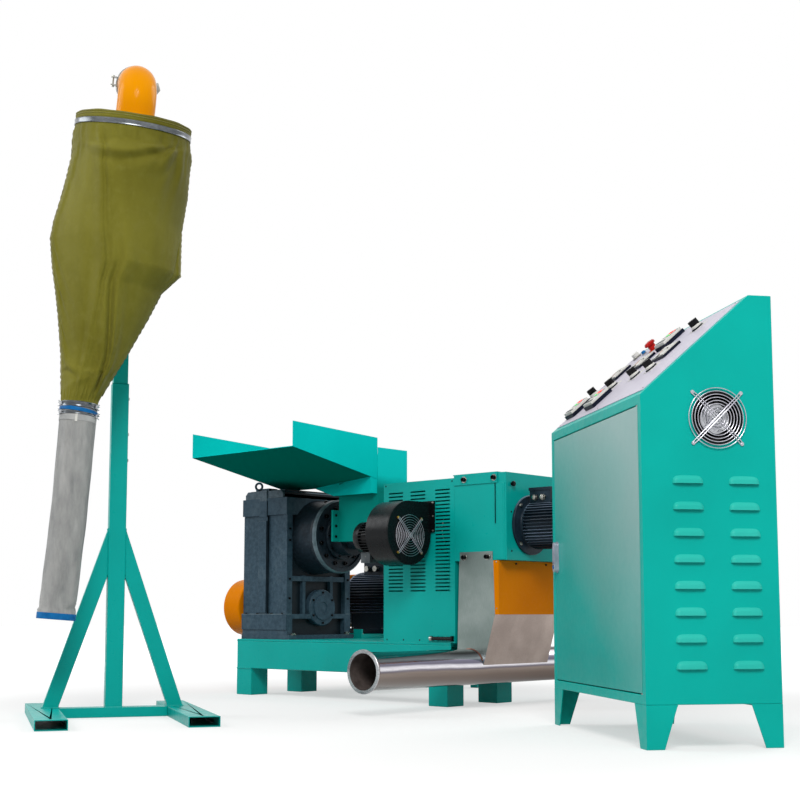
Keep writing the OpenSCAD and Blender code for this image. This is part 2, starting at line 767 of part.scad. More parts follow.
function cabinet_outline(t) = [
  [t, cabinet_foot_h + t], [cabinet_d - t, cabinet_foot_h + t], [cabinet_d - t, cabinet_h - t],
  [slope_run + t * (1 - cos(slope_a)) / sin(slope_a), cabinet_h - t],
  [t, cabinet_front_h + t * tan(slope_a) - t / cos(slope_a)]];

module cabinet_body() {
  color("lightseagreen") at_cabinet() difference() {
    union() {
      difference() {
        plate_xz(cabinet_outline(0), 0, cabinet_w);
        plate_xz(cabinet_outline(cabinet_t), cabinet_t, cabinet_w - cabinet_t);
      }
      // folded frame around the door's opening
      translate([0, door_border - cabinet_t, opening_z - cabinet_t])
        cube([frame_d, cabinet_w - 2 * door_border + 2 * cabinet_t, opening_top - opening_z + 2 * cabinet_t]);
    }
    translate([-eps, door_border, opening_z])
      cube([frame_d + 2 * eps, cabinet_w - 2 * door_border, opening_top - opening_z]);
    translate([fan_x, -eps, fan_z]) rotate([-90, 0, 0]) cylinder(h = cabinet_t + 2 * eps, r = fan_r);
  }
}

// one folded corner foot, its corner at the origin
module corner_foot(wide, narrow) {
  plate_xz([[0, cabinet_foot_h], [wide, cabinet_foot_h], [narrow, 0], [0, 0]], 0, 4);
  plate_yz([[0, cabinet_foot_h], [wide, cabinet_foot_h], [narrow, 0], [0, 0]], 0, 4);
  translate([0, 0, cabinet_foot_h - 4]) cube([wide, wide, 4]);
}

module cabinet_feet() {
  color("lightseagreen") at_cabinet() for (far = [0, 1], rear = [0, 1])
    translate([rear * cabinet_d, far * cabinet_w, 0])
      mirror([rear, 0, 0]) mirror([0, far, 0]) corner_foot(106, 60);
}

module cabinet_door() {
  block = 18;
  color("lightseagreen") at_cabinet() difference() {
    union() {
      difference() {
        translate([0, door_y, door_z]) cube([door_d, door_w, door_h]);
        translate([2, door_y + 2, door_z + 2]) cube([door_d, door_w - 4, door_h - 4]);
      }
      for (z = [door_z, door_z + door_h - block])
        translate([0, door_y, z]) cube([2 * pin_in, 2 * pin_in, block]);
    }
    for (z = [door_z - eps, door_z + door_h - block - eps])
      translate([hinge_at[0], hinge_at[1], z]) cylinder(h = block + 2 * eps, r = pin_r + running_gap);
  }
}

module door_handle() {
  color("silver") at_cabinet() translate([-14, cabinet_w - door_y - 46, 580]) {
    translate([0, 0, 0]) cube([14, 30, 120]);
    translate([-8, 6, 30]) cube([9, 18, 60]);
  }
}

module hinge_pins() {
  reach = 16;
  washer_t = door_gap - seat;
  color("gray") at_cabinet() for (top = [0, 1])
    translate([hinge_at[0], hinge_at[1], top * (opening_top + opening_z)])
      mirror([0, 0, top]) translate([0, 0, opening_z]) {
        cylinder(h = door_gap + reach, r = pin_r);
        cylinder(h = washer_t, r = pin_r + 2.5);
      }
}

module console_panel() {
  border = 24;
  color("lavender") on_slope() translate([border, border, 0])
    cube([slope_l - 2 * border, cabinet_w - 2 * border, instrument_t]);
}

// places on the console: distance up the slope, distance from the near side as a share of the width
function on_console(places) = [for (p = places) [p[0], p[1] * cabinet_w]];
controller_at = on_console([[115, 0.9], [115, 0.66], [415, 0.5]]);
meter_at = on_console([[320, 0.87], [320, 0.61], [300, 0.33]]);
knob_at = on_console([[205, 0.9], [205, 0.69], [205, 0.45], [205, 0.29], [415, 0.25]]);
button_at = on_console([[440, 0.9], [440, 0.72]]);

module panel_instruments() {
  size = 96;
  color("whitesmoke") on_slope() translate([0, 0, instrument_t]) {
    for (p = controller_at) translate([p[0], p[1], 0]) {
      translate([-size / 2, -size / 2, 0]) cube([size, size, 10]);
      translate([-size / 2 + 6, -size / 2 + 6, 9]) cube([size - 12, size - 12, 22]);
    }
    for (p = meter_at) translate([p[0] - 42, p[1] - 60, 0]) cube([84, 120, 14]);
  }
}

module panel_knobs() {
  color("black") on_slope() translate([0, 0, instrument_t]) {
    for (p = knob_at) translate([p[0], p[1], 0]) {
      cylinder(h = 14, r = 24);
      translate([-20, -9, 13]) cube([40, 18, 26]);
    }
    translate([button_at[0][0], button_at[0][1], 0]) cylinder(h = 22, r = 20);
    translate([button_at[1][0], button_at[1][1], 0]) {
      cylinder(h = 22, r = 16);
      translate([0, 0, 21]) cylinder(h = 16, r = 22);
    }
  }
}

// fan frame inside the side wall, with struts, a motor boss and the rotor's shaft
module fan_frame() {
  shaft_z = hub_z + hub_floor + 2 * seat;
  color("black") at_cabinet() translate([fan_x, cabinet_t, fan_z]) rotate([-90, 0, 0]) {
    difference() {
      cylinder(h = fan_depth, r = fan_r + 6);
      translate([0, 0, -eps]) cylinder(h = fan_depth + 2 * eps, r = fan_r);
    }
    translate([0, 0, fan_depth - boss_t]) {
      cylinder(h = boss_t, r = 34);
      for (a = [0:120:240]) rotate([0, 0, a]) translate([20, -5, 1]) cube([fan_r - 17, 10, boss_t - 2]);
    }
    translate([0, 0, shaft_z]) cylinder(h = fan_depth - boss_t + eps - shaft_z, r = pin_r);
  }
}

module fan_rotor() {
  color("dimgray") at_cabinet() translate([fan_x, cabinet_t, fan_z]) rotate([-90, 0, 0])
    translate([0, 0, hub_z]) difference() {
      union() {
        cylinder(h = hub_l, r = 32);
        for (a = [0:72:288]) rotate([0, 0, a]) translate([30, 0, hub_l / 2]) rotate([32, 0, 0])
          translate([0, -17, -1]) cube([rotor_r - 31, 34, 2]);
      }
      translate([0, 0, hub_floor]) cylinder(h = hub_l, r = pin_r + running_gap);
    }
}

module fan_guard() {
  ring_step = (fan_r + 12 - 24) / 4;
  color("silver") at_cabinet() translate([fan_x, -5, fan_z]) rotate([90, 0, 0]) {
    for (i = [0:4]) rotate_extrude() translate([24 + i * ring_step, 0]) circle(r = 2, $fn = 16);
    for (a = [45, 135]) rotate([0, 0, a]) {
      translate([-fan_r - 40, -5, -2]) cube([2 * fan_r + 80, 10, 5]);
      for (x = [-fan_r - 40, fan_r + 28]) translate([x, -6, -5]) cube([12, 12, 5]);
    }
  }
}

module stand_feet() {
  hole_r = 5;
  color("lightseagreen") at_stand() for (s = [-1, 1]) difference() {
    translate([s * foot_x - foot_w / 2, -foot_front, 0]) tube_y([foot_w, foot_front + foot_back, foot_h], 3);
    translate([s * foot_x, -foot_front + 35, foot_h - 3 - eps]) cylinder(h = 3 + 2 * eps, r = hole_r);
  }
}

module stand_cross_beam() {
  inner = foot_spacing - foot_w;
  color("darkcyan") at_stand() translate([-inner / 2, -40, 0]) tube_x([inner, 80, foot_h], 3);
}

module stand_outer_post() {
  color("darkcyan") at_stand() translate([-post_w / 2, -post_w / 2, foot_h])
    tube_z([post_w, post_w, post_h - foot_h], post_wall);
}

// braces from the feet up to the post's sides
module stand_braces() {
  w = 60;
  low_x = foot_x - foot_w / 2 + w + 6;
  high_z = 780;
  low_w = w + 4;
  high_h = 200;
  color("darkcyan") at_stand() for (s = [0, 1]) mirror([s, 0, 0])
    plate_xz([[low_x - low_w, foot_h], [low_x, foot_h], [post_w / 2, high_z], [post_w / 2, high_z - high_h]],
             -20, 20);
}

module stand_inner_post() {
  color("darkcyan") at_stand() translate([-inner_w / 2, -inner_w / 2, inner_z])
    tube_z([inner_w, inner_w, inner_top - inner_z], post_wall);
}

// arm over the bag's top plate, cut off flush at the inner post's face
module bag_arm() {
  plate_t = 6;
  reach = bag_reach + ring_r;
  color("darkcyan") intersection() {
    at_ring() translate([bag_offset - 28, elbow_r + 14, plate_t]) cube([56, reach, 30]);
    at_stand() translate([-reach, -reach, 0]) cube([2 * reach, reach - inner_w / 2, inner_top]);
  }
}

module bag_top_plate() {
  color("rosybrown") at_ring() difference() {
    cylinder(h = 6, r = ring_r);
    translate([0, 0, -eps]) cylinder(h = 6 + 2 * eps, r = elbow_r - elbow_t);
  }
}

module inlet_elbow() {
  color("orange") at_ring() translate([0, 0, 6]) {
    difference() {
      cylinder(h = elbow_leg, r = elbow_r);
      translate([0, 0, -eps]) cylinder(h = elbow_leg + 2 * eps, r = elbow_r - elbow_t);
    }
    translate([0, elbow_bend, elbow_leg]) rotate([0, -90, 180]) rotate([0, 0, 0])
      rotate_extrude(angle = 90) translate([elbow_bend, 0]) difference() {
        circle(r = elbow_r);
        circle(r = elbow_r - elbow_t);
      }
    translate([0, elbow_bend, elbow_leg + elbow_bend]) rotate([-90, 0, 0]) difference() {
      cylinder(h = 44, r = elbow_r);
      translate([0, 0, -eps]) cylinder(h = 44 + 2 * eps, r = elbow_r - elbow_t);
    }
  }
}

module elbow_clamp() {
  w = 22;
  color("gray") at_ring() translate([0, elbow_bend + 14, 6 + elbow_leg + elbow_bend]) {
    rotate([-90, 0, 0]) difference() {
      cylinder(h = w, r = elbow_r + 5);
      translate([0, 0, -eps]) cylinder(h = w + 2 * eps, r = elbow_r + seat);
    }
    translate([-elbow_r - 24, 0, -14]) cube([24, w, 44]);
  }
}

module bag_band() {
  h = 24;
  color("silver") at_ring() translate([0, 0, -h - 8]) difference() {
    cylinder(h = h, r = ring_r + 5 + seat + 3);
    translate([0, 0, -eps]) cylinder(h = h + 2 * eps, r = ring_r + 5 + seat);
  }
}

// bag: stations of share of the height, left and right reach from the top's centre, half depth
rim_r = ring_r + 5;
bag_h = ring_z - neck_z - 2 * seat;
bag_stations = [
  [0, -rim_r, rim_r, rim_r], [0.034, -rim_r, rim_r, rim_r], [0.12, -rim_r - 8, rim_r - 1, rim_r + 5],
  [0.25, -rim_r - 38, rim_r - 12, rim_r + 10], [0.37, -rim_r - 73, rim_r - 32, rim_r + 10],
  [0.43, -rim_r - 84, rim_r - 33, rim_r + 4], [0.534, -rim_r - 73, rim_r - 34, rim_r - 10],
  [0.60, -neck_run - neck_r - 34, -neck_run + 313, neck_r + 112],
  [0.70, -neck_run - neck_r - 19, -neck_run + 258, neck_r + 80],
  [0.84, -neck_run - neck_r - 4, -neck_run + 174, neck_r + 40],
  [0.95, -neck_run - neck_r, -neck_run + 102, neck_r + 14],
  [1, -neck_run - neck_r, -neck_run + neck_r, neck_r]];
bag_sides = 32;
rim_share = 0.05;                 // stations above this share tilt with the top plate

// ring of points at one station; the rim's two stations tilt with the top plate
function leaned(p, lean, tilt) = let (z = p[1] * sin(lean) + p[2] * cos(lean))
  [p[0] * cos(tilt) + z * sin(tilt), p[1] * cos(lean) - p[2] * sin(lean), z * cos(tilt) - p[0] * sin(tilt)];
function bag_ring(s) = [
  for (i = [0:bag_sides - 1])
    let (a = 360 * i / bag_sides, follows = s[0] < rim_share ? 1 : 0,
         x = (s[1] + s[2]) / 2 + (s[2] - s[1]) / 2 * cos(a))
      leaned([x, s[3] * sin(a), -s[0] * bag_h], follows * ring_lean, follows * ring_tilt)];

module filter_bag() {
  n = len(bag_stations);
  points = [for (s = bag_stations) each bag_ring(s)];
  sides = [for (j = [0:n - 2], i = [0:bag_sides - 1])
    let (k = (i + 1) % bag_sides)
      [j * bag_sides + i, j * bag_sides + k, (j + 1) * bag_sides + k, (j + 1) * bag_sides + i]];
  top = [for (i = [bag_sides - 1:-1:0]) i];
  bottom = [for (i = [0:bag_sides - 1]) (n - 1) * bag_sides + i];
  color("olive") at_stand() translate([-bag_offset, -bag_reach, ring_z - seat])
    polyhedron(points = points, faces = concat(sides, [top], [bottom]));
}

module neck_clamp() {
  color("silver") at_sleeve() translate([0, 0, -44]) difference() {
    cylinder(h = 34, r = neck_r + 4);
    translate([0, 0, -eps]) cylinder(h = 34 + 2 * eps, r = neck_r + seat);
  }
}

module outlet_sleeve() {
  color("gainsboro") intersection() {
    at_sleeve() translate([0, 0, -sleeve_l]) difference() {
      cylinder(h = sleeve_l + 20, r = neck_r);
      translate([0, 0, -eps]) cylinder(h = sleeve_l - 30, r = neck_r - 2);
    }
    at_stand() translate([sleeve_top[0] - 300, sleeve_top[1] - 300, 0]) cube([600, 600, neck_z - seat]);
  }
}

base_front_beam();
base_rear_beam();
base_deck();
base_legs();
motor_platform();
platform_legs();
motor_rails();
gearbox_housing();
gearbox_cap();
bearing_cover();
thrust_housing();
barrel();
feed_screw();
feed_throat();
hopper_body();
hopper_tray();
barrel_cover();
cover_latch();
die_cover();
die_lid();
cutter_motor();
blower_housing();
blower_motor();
capacitor_box();
blower_guard();
main_motor();
belt_guard();
pellet_chute();
chute_guard();
conveying_pipe();
cabinet_body();
cabinet_feet();
cabinet_door();
door_handle();
hinge_pins();
console_panel();
panel_instruments();
panel_knobs();
fan_frame();
fan_guard();
fan_rotor();
stand_feet();
stand_cross_beam();
stand_braces();
stand_outer_post();
stand_inner_post();
bag_arm();
bag_top_plate();
inlet_elbow();
elbow_clamp();
bag_band();
filter_bag();
neck_clamp();
outlet_sleeve();
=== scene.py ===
"""Looks of a plastic granulator line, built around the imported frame.

The line is a granulator on its base, a control cabinet and a stand with a cloth bag. Local work is in
millimetres, in the same local frames as the CAD source, and each mesh is stored in the row frame, in metres.
"""

import math
from itertools import product

import bmesh
import bpy
import numpy as np
from mathutils import Matrix, Vector


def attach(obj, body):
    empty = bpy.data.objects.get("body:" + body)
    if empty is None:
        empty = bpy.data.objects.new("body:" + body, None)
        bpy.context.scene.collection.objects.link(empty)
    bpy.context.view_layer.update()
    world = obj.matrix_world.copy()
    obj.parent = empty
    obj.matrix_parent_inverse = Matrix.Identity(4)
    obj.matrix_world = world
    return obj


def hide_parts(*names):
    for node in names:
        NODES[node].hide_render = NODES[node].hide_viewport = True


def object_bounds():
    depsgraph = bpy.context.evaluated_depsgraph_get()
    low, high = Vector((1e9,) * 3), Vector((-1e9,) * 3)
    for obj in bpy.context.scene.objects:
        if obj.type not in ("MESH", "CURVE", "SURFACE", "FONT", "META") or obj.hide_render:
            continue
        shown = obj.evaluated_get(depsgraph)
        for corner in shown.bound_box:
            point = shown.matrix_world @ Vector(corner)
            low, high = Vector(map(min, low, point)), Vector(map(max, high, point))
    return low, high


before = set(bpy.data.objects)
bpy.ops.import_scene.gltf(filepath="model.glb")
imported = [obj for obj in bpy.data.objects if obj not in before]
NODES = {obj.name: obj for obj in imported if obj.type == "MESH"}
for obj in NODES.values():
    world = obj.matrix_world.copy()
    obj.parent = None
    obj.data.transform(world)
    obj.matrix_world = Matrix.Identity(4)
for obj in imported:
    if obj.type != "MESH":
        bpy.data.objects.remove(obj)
cad_low, cad_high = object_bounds()
TAU = 2 * math.pi
MM = 0.001  # a millimetre, in metres


# ---- local frames, as in the CAD source

def spin(degrees, axis):
    return Matrix.Rotation(math.radians(degrees), 4, axis)


def shift(x, y, z):
    return Matrix.Translation((x, y, z))


ROW = Matrix.Identity(4)
LINE = shift(-57.5, -57.5, 0)  # corner of the machine's base
CABINET = LINE @ shift(3173, -1038, 0) @ spin(52.75, "Z")
CAB_W, CAB_D, CAB_TOP_D = 1000, 460, 80  # width, and depth at the foot and at the top
SLOPE_Z, CAB_H = 1130, 1470  # the console's low edge, and the top
STAND = LINE @ shift(798, -1354, 0) @ spin(59.9, "Z")
BAG_REACH, RING_Z, RING_TILT, RING_LEAN = 330, 2405, 4, 11
RING = STAND @ shift(0, -BAG_REACH, RING_Z) @ spin(RING_TILT, "Y") @ spin(RING_LEAN, "X")  # bag's top plate
NECK_RUN, NECK_Z, SLEEVE_LEAN = 188, 1262, 4.6
SLEEVE = STAND @ shift(-NECK_RUN, -BAG_REACH, NECK_Z) @ spin(SLEEVE_LEAN, "Y")  # top centre of the sleeve
SLOPE_A = math.degrees(math.atan2(CAB_H - SLOPE_Z, CAB_D - CAB_TOP_D))
SLOPE = CABINET @ shift(0, 0, SLOPE_Z) @ spin(-SLOPE_A, "Y")  # console: x up the slope, z out of it
PIPE_X, PIPE_Z, PIPE_R = 1595, 185, 79.5
GEARBOX_SIDE = 325  # the recessed right side of the gearbox


def along_x(x, y, z):
    """A frame whose z runs along +X."""
    return shift(x, y, z) @ spin(90, "Y")


def along_y(x, y, z):
    """A frame whose z runs along +Y."""
    return shift(x, y, z) @ spin(-90, "X")


def facing_front(x, y, z):
    """A frame whose z runs along -Y."""
    return shift(x, y, z) @ spin(90, "X")


def local_box(node, place):
    """Lowest and highest corner of a CAD node in a local frame, in millimetres."""
    back = np.array(place.inverted())
    co = np.array([v.co for v in NODES[node].data.vertices], float) * 1000
    co = co @ back[:3, :3].T + back[:3, 3]
    return Vector(co.min(0)), Vector(co.max(0))


def turns(count, first=0.0):
    """Evenly spaced angles round a circle; first is the share of a step that they start at."""
    return [TAU * (i + first) / count for i in range(count)]


def circle(r, z=0.0, steps=64):
    """Points of a circle about z."""
    return [(r * math.cos(a), r * math.sin(a), z) for a in turns(steps)]


def arc(cx, cy, r, a0, a1, n):
    """Points of an arc, its angles in degrees."""
    angles = [math.radians(a0 + (a1 - a0) * i / n) for i in range(n + 1)]
    return [(cx + r * math.cos(a), cy + r * math.sin(a)) for a in angles]


def grid(rows, across, looped=True, closed=False):
    """Faces between rows of points. looped joins a row's ends, closed joins the last row to the first."""
    faces = []
    for k in range(rows if closed else rows - 1):
        a, b = k * across, (k + 1) % rows * across
        for i in range(across if looped else across - 1):
            j = (i + 1) % across
            faces.append((a + i, a + j, b + j, b + i))
    return faces


def each(value):
    """One number, or several, as a sequence."""
    return (value,) if isinstance(value, (int, float)) else value


# ---- mesh building

class Shape:
    """Vertices and faces gathered in one local frame, in millimetres."""

    def __init__(self, place=LINE):
        self.place = place
        self.points = []
        self.faces = []
        self.finish = []

    def add(self, points, faces, mat=0, at=ROW):
        start = len(self.points)
        self.points += [at @ Vector(p) for p in points]
        self.faces += [tuple(start + i for i in f) for f in faces]
        self.finish += [mat] * len(faces)

    def box(self, low, high, mat=0, at=ROW):
        points = [(x, y, z) for z in (low[2], high[2]) for y in (low[1], high[1]) for x in (low[0], high[0])]
        faces = [(0, 2, 3, 1), (4, 5, 7, 6), (0, 1, 5, 4), (2, 6, 7, 3), (0, 4, 6, 2), (1, 3, 7, 5)]
        self.add(points, faces, mat, at)

    def lathe(self, profile, mat=0, at=ROW, steps=64, closed=False):
        """Turns a profile of (radius, height) about z. closed joins its last point to its first."""
        points, rings, faces = [], [], []
        for r, z in profile:
            start = len(points)
            pole = r < 1e-6
            rings.append([start] * steps if pole else range(start, start + steps))
            points += [(0, 0, z)] if pole else circle(r, z, steps)
        for a, b in zip(rings, rings[1:] + rings[:closed]):
            for i in range(steps):
                j = (i + 1) % steps
                face = list(dict.fromkeys((a[i], a[j], b[j], b[i])))
                if len(face) > 2:
                    faces.append(face)
        self.add(points, faces, mat, at)

    def rod(self, r, z0, z1, mat=0, at=ROW, steps=32, edge=0.0):
        """A closed cylinder with chamfered ends."""
        e = edge or r * 0.04
        ends = [(0, z0), (r - e, z0), (r, z0 + e), (r, z1 - e), (r - e, z1), (0, z1)]
        self.lathe(ends, mat, at, steps)

    def prism(self, outline, z0, z1, mat=0, at=ROW):
        n = len(outline)
        points = [(x, y, z) for z in (z0, z1) for x, y in outline]
        ends = [tuple(range(n - 1, -1, -1)), tuple(range(n, 2 * n))]
        self.add(points, ends + grid(2, n), mat, at)

    def tube(self, path, r, mat=0, at=ROW, sides=10, closed=False, ripple=0.0, ripple_step=5.0):
        """A round bar along a line of points; ripple swells it now and then, as on a weld bead."""
        path = [Vector(p) for p in path]
        n = len(path)
        points, side = [], None
        for k, p in enumerate(path):
            before = path[k - 1] if k or closed else path[0]
            after = path[(k + 1) % n] if k < n - 1 or closed else path[-1]
            ahead = (after - before).normalized()
            if side is None:
                side = ahead.orthogonal()
            side = (side - ahead * side.dot(ahead)).normalized()
            other = ahead.cross(side)
            swell = 1 + ripple * math.sin(k * ripple_step)
            points += [p + (side * x + other * y) * r * swell for x, y, _ in circle(1, 0, sides)]
        faces = grid(n, sides, closed=closed)
        if not closed:
            faces += [tuple(range(sides - 1, -1, -1)), tuple(range((n - 1) * sides, n * sides))]
        self.add(points, faces, mat, at)

    def ring(self, major, minor, mat=0, at=ROW, steps=64, sides=10):
        self.tube(circle(major, 0, steps), minor, mat, at, sides, closed=True)

    def weld(self, a, b, r=3.0):
        """A weld bead from a to b."""
        a, b = Vector(a), Vector(b)
        n = max(4, int((b - a).length / 4))
        path = [a.lerp(b, i / n) for i in range(n + 1)]
        self.tube(path, r, sides=8, ripple=0.16, ripple_step=2.1)

    def holed_plate(self, xs, ys, is_hole, z0, z1, mat=0, at=ROW):
        """A plate over a grid of lines, open in the cells (i, j) where is_hole says so."""
        index, points, faces = {}, [], []

        def corner(i, j, z):
            if (i, j, z) not in index:
                index[i, j, z] = len(points)
                points.append((xs[i], ys[j], z))
            return index[i, j, z]

        def solid(i, j):
            return 0 <= i < len(xs) - 1 and 0 <= j < len(ys) - 1 and not is_hole(i, j)

        for i, j in product(range(len(xs) - 1), range(len(ys) - 1)):
            if not solid(i, j):
                continue
            round_cell = [(i, j), (i + 1, j), (i + 1, j + 1), (i, j + 1)]
            faces.append([corner(*c, z1) for c in round_cell])
            faces.append([corner(*c, z0) for c in reversed(round_cell)])
            beyond = [(i, j - 1), (i + 1, j), (i, j + 1), (i - 1, j)]
            for a, b, next_cell in zip(round_cell, round_cell[1:] + round_cell[:1], beyond):
                if not solid(*next_cell):
                    faces.append([corner(*a, z0), corner(*b, z0), corner(*b, z1), corner(*a, z1)])
        self.add(points, faces, mat, at)

    def bolt(self, at, size=10.0, mat=0, kind="hex"):
        """A fastener's head, z out of the surface: a hex head, a socket head or a cross-head screw."""

        def turned(profile, steps):
            self.lathe([(r * size, z * size) for r, z in profile], mat, at, steps)

        if kind == "hex":
            self.rod(1.15 * size, 0, 0.18 * size, mat, at, 24)
            turned([(0, 0.82), (0.78, 0.82), (0.94, 0.7), (0.94, 0.15)], 6)
        elif kind == "socket":
            turned([(0, 0.45), (0.42, 0.45)], 6)
            turned([(0.42, 0.45), (0.45, 1), (0.72, 1), (0.8, 0.92), (0.8, 0)], 24)
        else:
            turned([(0, 0.42), (0.3, 0.4), (0.62, 0.27), (0.8, 0)], 20)
            low, high = Vector((-0.4, -0.07, 0.36)) * size, Vector((0.4, 0.07, 0.45)) * size
            for turn in (0, 90):
                self.box(low, high, mat, at @ spin(turn, "Z"))

    def bolts(self, facing, xs, ys, zs, size, mat=0, kind="hex"):
        """A fastener at every mix of the given places; facing is one of the frame functions."""
        for place in product(each(xs), each(ys), each(zs)):
            self.bolt(facing(*place), size, mat, kind)

    def bolt_circle(self, x, y, z, r, count, size, mat, first=0.0):
        """Socket screws on a circle that faces +X."""
        for a in turns(count, first):
            self.bolt(along_x(x, y + r * math.cos(a), z + r * math.sin(a)), size, mat, "socket")

    def washered(self, x, y, z, washer, head):
        """A large socket screw on a washer, on a front face, each in its own material."""
        at = facing_front(x, y, z)
        self.rod(15, 0, 2.2, washer, at, 32)
        self.bolt(at @ shift(0, 0, 2), 12.5, head, "socket")

    def make(self, name, body, materials, bevel=0.0, segments=2, slot=None, replaces=(), sharp=35, fuse=True):
        """Makes the object in the row frame, in metres, and lets it ride on a body."""
        mesh = bpy.data.meshes.new(name)
        mesh.from_pydata([(self.place @ p) * MM for p in self.points], [], self.faces)
        for m in materials:
            mesh.materials.append(m)
        mesh.polygons.foreach_set("material_index", self.finish)
        work = bmesh.new()
        work.from_mesh(mesh)
        if fuse:
            bmesh.ops.remove_doubles(work, verts=work.verts, dist=1e-6)
        bmesh.ops.recalc_face_normals(work, faces=work.faces)
        work.to_mesh(mesh)
        work.free()
        mesh.shade_smooth()
        piece = bpy.data.objects.new(name, mesh)
        bpy.context.scene.collection.objects.link(piece)
        if bevel:
            round_edges(piece, bevel, segments)
        else:
            mesh.set_sharp_from_angle(angle=math.radians(sharp))
        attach(piece, body)
        if replaces:
            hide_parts(*replaces)
        return piece


def fasteners(name, material, slot, *groups, place=LINE):
    """A piece of nothing but fasteners, each group being what bolts takes: frames, places, size, kind."""
    s = Shape(place)
    for facing, xs, ys, zs, size, *kind in groups:
        s.bolts(facing, xs, ys, zs, size, 0, *kind)
    s.make(name, "plant", [material], slot=slot)


def round_edges(piece, width, segments):
    """A bevel on every sharp edge, in millimetres."""
    m = piece.modifiers.new("edges", "BEVEL")
    m.width = width * MM
    m.segments = segments
    m.limit_method = "ANGLE"
    m.angle_limit = math.radians(40)
    m.harden_normals = True


def dress(nodes, material, bevel, segments=2):
    """Gives CAD nodes that stay, named in one string, their finish and rounded edges."""
    for node in nodes.split():
        piece = NODES[node]
        mesh = piece.data
        mesh.materials.clear()
        mesh.materials.append(material)
        mesh.polygons.foreach_set("material_index", [0] * len(mesh.polygons))
        if "custom_normal" in mesh.attributes:
            mesh.attributes.remove(mesh.attributes["custom_normal"])
        mesh.shade_smooth()
        weld = piece.modifiers.new("weld", "WELD")
        weld.merge_threshold = 2e-5
        round_edges(piece, bevel, segments)


# ---- materials

def linear(code):
    """Linear RGBA of an sRGB colour code such as #1DB3A5."""
    values = [int(code[i:i + 2], 16) / 255 for i in (1, 3, 5)]
    return tuple(v / 12.92 if v <= 0.04045 else ((v + 0.055) / 1.055) ** 2.4 for v in values) + (1.0,)


class Finish:
    """A procedural material under construction, around its Principled shader."""

    def __init__(self, name, colour, rough, metal=0.0, **sockets):
        self.material = bpy.data.materials.new(name)
        self.material.use_nodes = True
        self.tree = self.material.node_tree
        self.shader = self.tree.nodes["Principled BSDF"]
        values = dict(Base_Color=linear(colour), Roughness=rough, Metallic=metal, Specular_IOR_Level=0.13)
        values.update(sockets)
        for socket, value in values.items():
            self.shader.inputs[socket.replace("_", " ")].default_value = value
        self.normal = None

    def node(self, kind, inputs=(), **settings):
        """A node with its settings and its inputs, each input a value or another node's output."""
        made = self.tree.nodes.new(kind)
        for key, value in settings.items():
            setattr(made, key, value)
        for socket, value in inputs:
            if isinstance(value, str):
                made.inputs[socket].default_value = linear(value)
            elif isinstance(value, bpy.types.NodeSocket):
                self.tree.links.new(value, made.inputs[socket])
            else:
                made.inputs[socket].default_value = value
        return made

    def place(self, stretch=(1, 1, 1)):
        """The row-frame position in metres, times stretch."""
        where = self.node("ShaderNodeTexCoord").outputs["Object"]
        return self.node("ShaderNodeMapping", [("Scale", stretch), ("Vector", where)]).outputs["Vector"]

    def noise(self, scale, detail=2.0, rough=0.5, stretch=(1, 1, 1)):
        values = [("Scale", scale), ("Detail", detail), ("Roughness", rough), ("Vector", self.place(stretch))]
        return self.node("ShaderNodeTexNoise", values).outputs["Fac"]

    def weave(self, ways, distortion):
        """Crossing threads: 1 on their crests."""
        threads = []
        for way in ways:
            values = [("Scale", 1.0), ("Distortion", distortion), ("Vector", self.place(way))]
            wave = self.node("ShaderNodeTexWave", values, wave_type="BANDS", bands_direction="DIAGONAL")
            threads.append(wave.outputs["Fac"])
        return self.maths("MAXIMUM", *threads)

    def dot(self, value, way):
        made = self.node("ShaderNodeVectorMath", [(0, value), (1, way)], operation="DOT_PRODUCT")
        return made.outputs["Value"]

    def along(self, way):
        """The row-frame position in metres, measured along a direction."""
        return self.dot(self.place(), way)

    def facing(self, way):
        """How far the surface faces a direction, from -1 to 1."""
        return self.dot(self.node("ShaderNodeNewGeometry").outputs["Normal"], way)

    def ramp(self, value, stops):
        """Colours at set places along a 0..1 value."""
        made = self.node("ShaderNodeValToRGB", [(0, value)])
        band = made.color_ramp
        while len(band.elements) < len(stops):
            band.elements.new(0.5)
        for element, (at, colour) in zip(band.elements, stops):
            element.position = at
            element.color = linear(colour)
        return made.outputs[0]

    def spread(self, value, low, high, to_low, to_high):
        """Maps a value from low..high to to_low..to_high."""
        return self.node("ShaderNodeMapRange", enumerate((value, low, high, to_low, to_high))).outputs[0]

    def maths(self, kind, a, b):
        return self.node("ShaderNodeMath", [(0, a), (1, b)], operation=kind).outputs[0]

    def mix(self, factor, a, b):
        """Mixes two colours, each a code or an output."""
        return self.node("ShaderNodeMix", [(0, factor), (6, a), (7, b)], data_type="RGBA").outputs[2]

    def blend(self, value, low, high, a, b, most=1):
        """Goes from colour a towards colour b as a value runs from low to high."""
        return self.mix(self.spread(value, low, high, 0, most), a, b)

    def drive(self, socket, output):
        self.tree.links.new(output, self.shader.inputs[socket])

    def roughen(self, value, low, high):
        """Roughness that runs from low to high with a 0..1 value."""
        self.drive("Roughness", self.spread(value, 0.3, 0.7, low, high))

    def bump(self, height, strength, depth):
        """Adds relief of depth metres."""
        values = [("Strength", strength), ("Distance", depth), ("Height", height)]
        if self.normal:
            values.append(("Normal", self.normal))
        self.normal = self.node("ShaderNodeBump", values).outputs["Normal"]
        self.drive("Normal", self.normal)

    def painted_with(self, tone):
        """Sets the base colour and hands over the material."""
        self.drive("Base Color", tone)
        return self.material


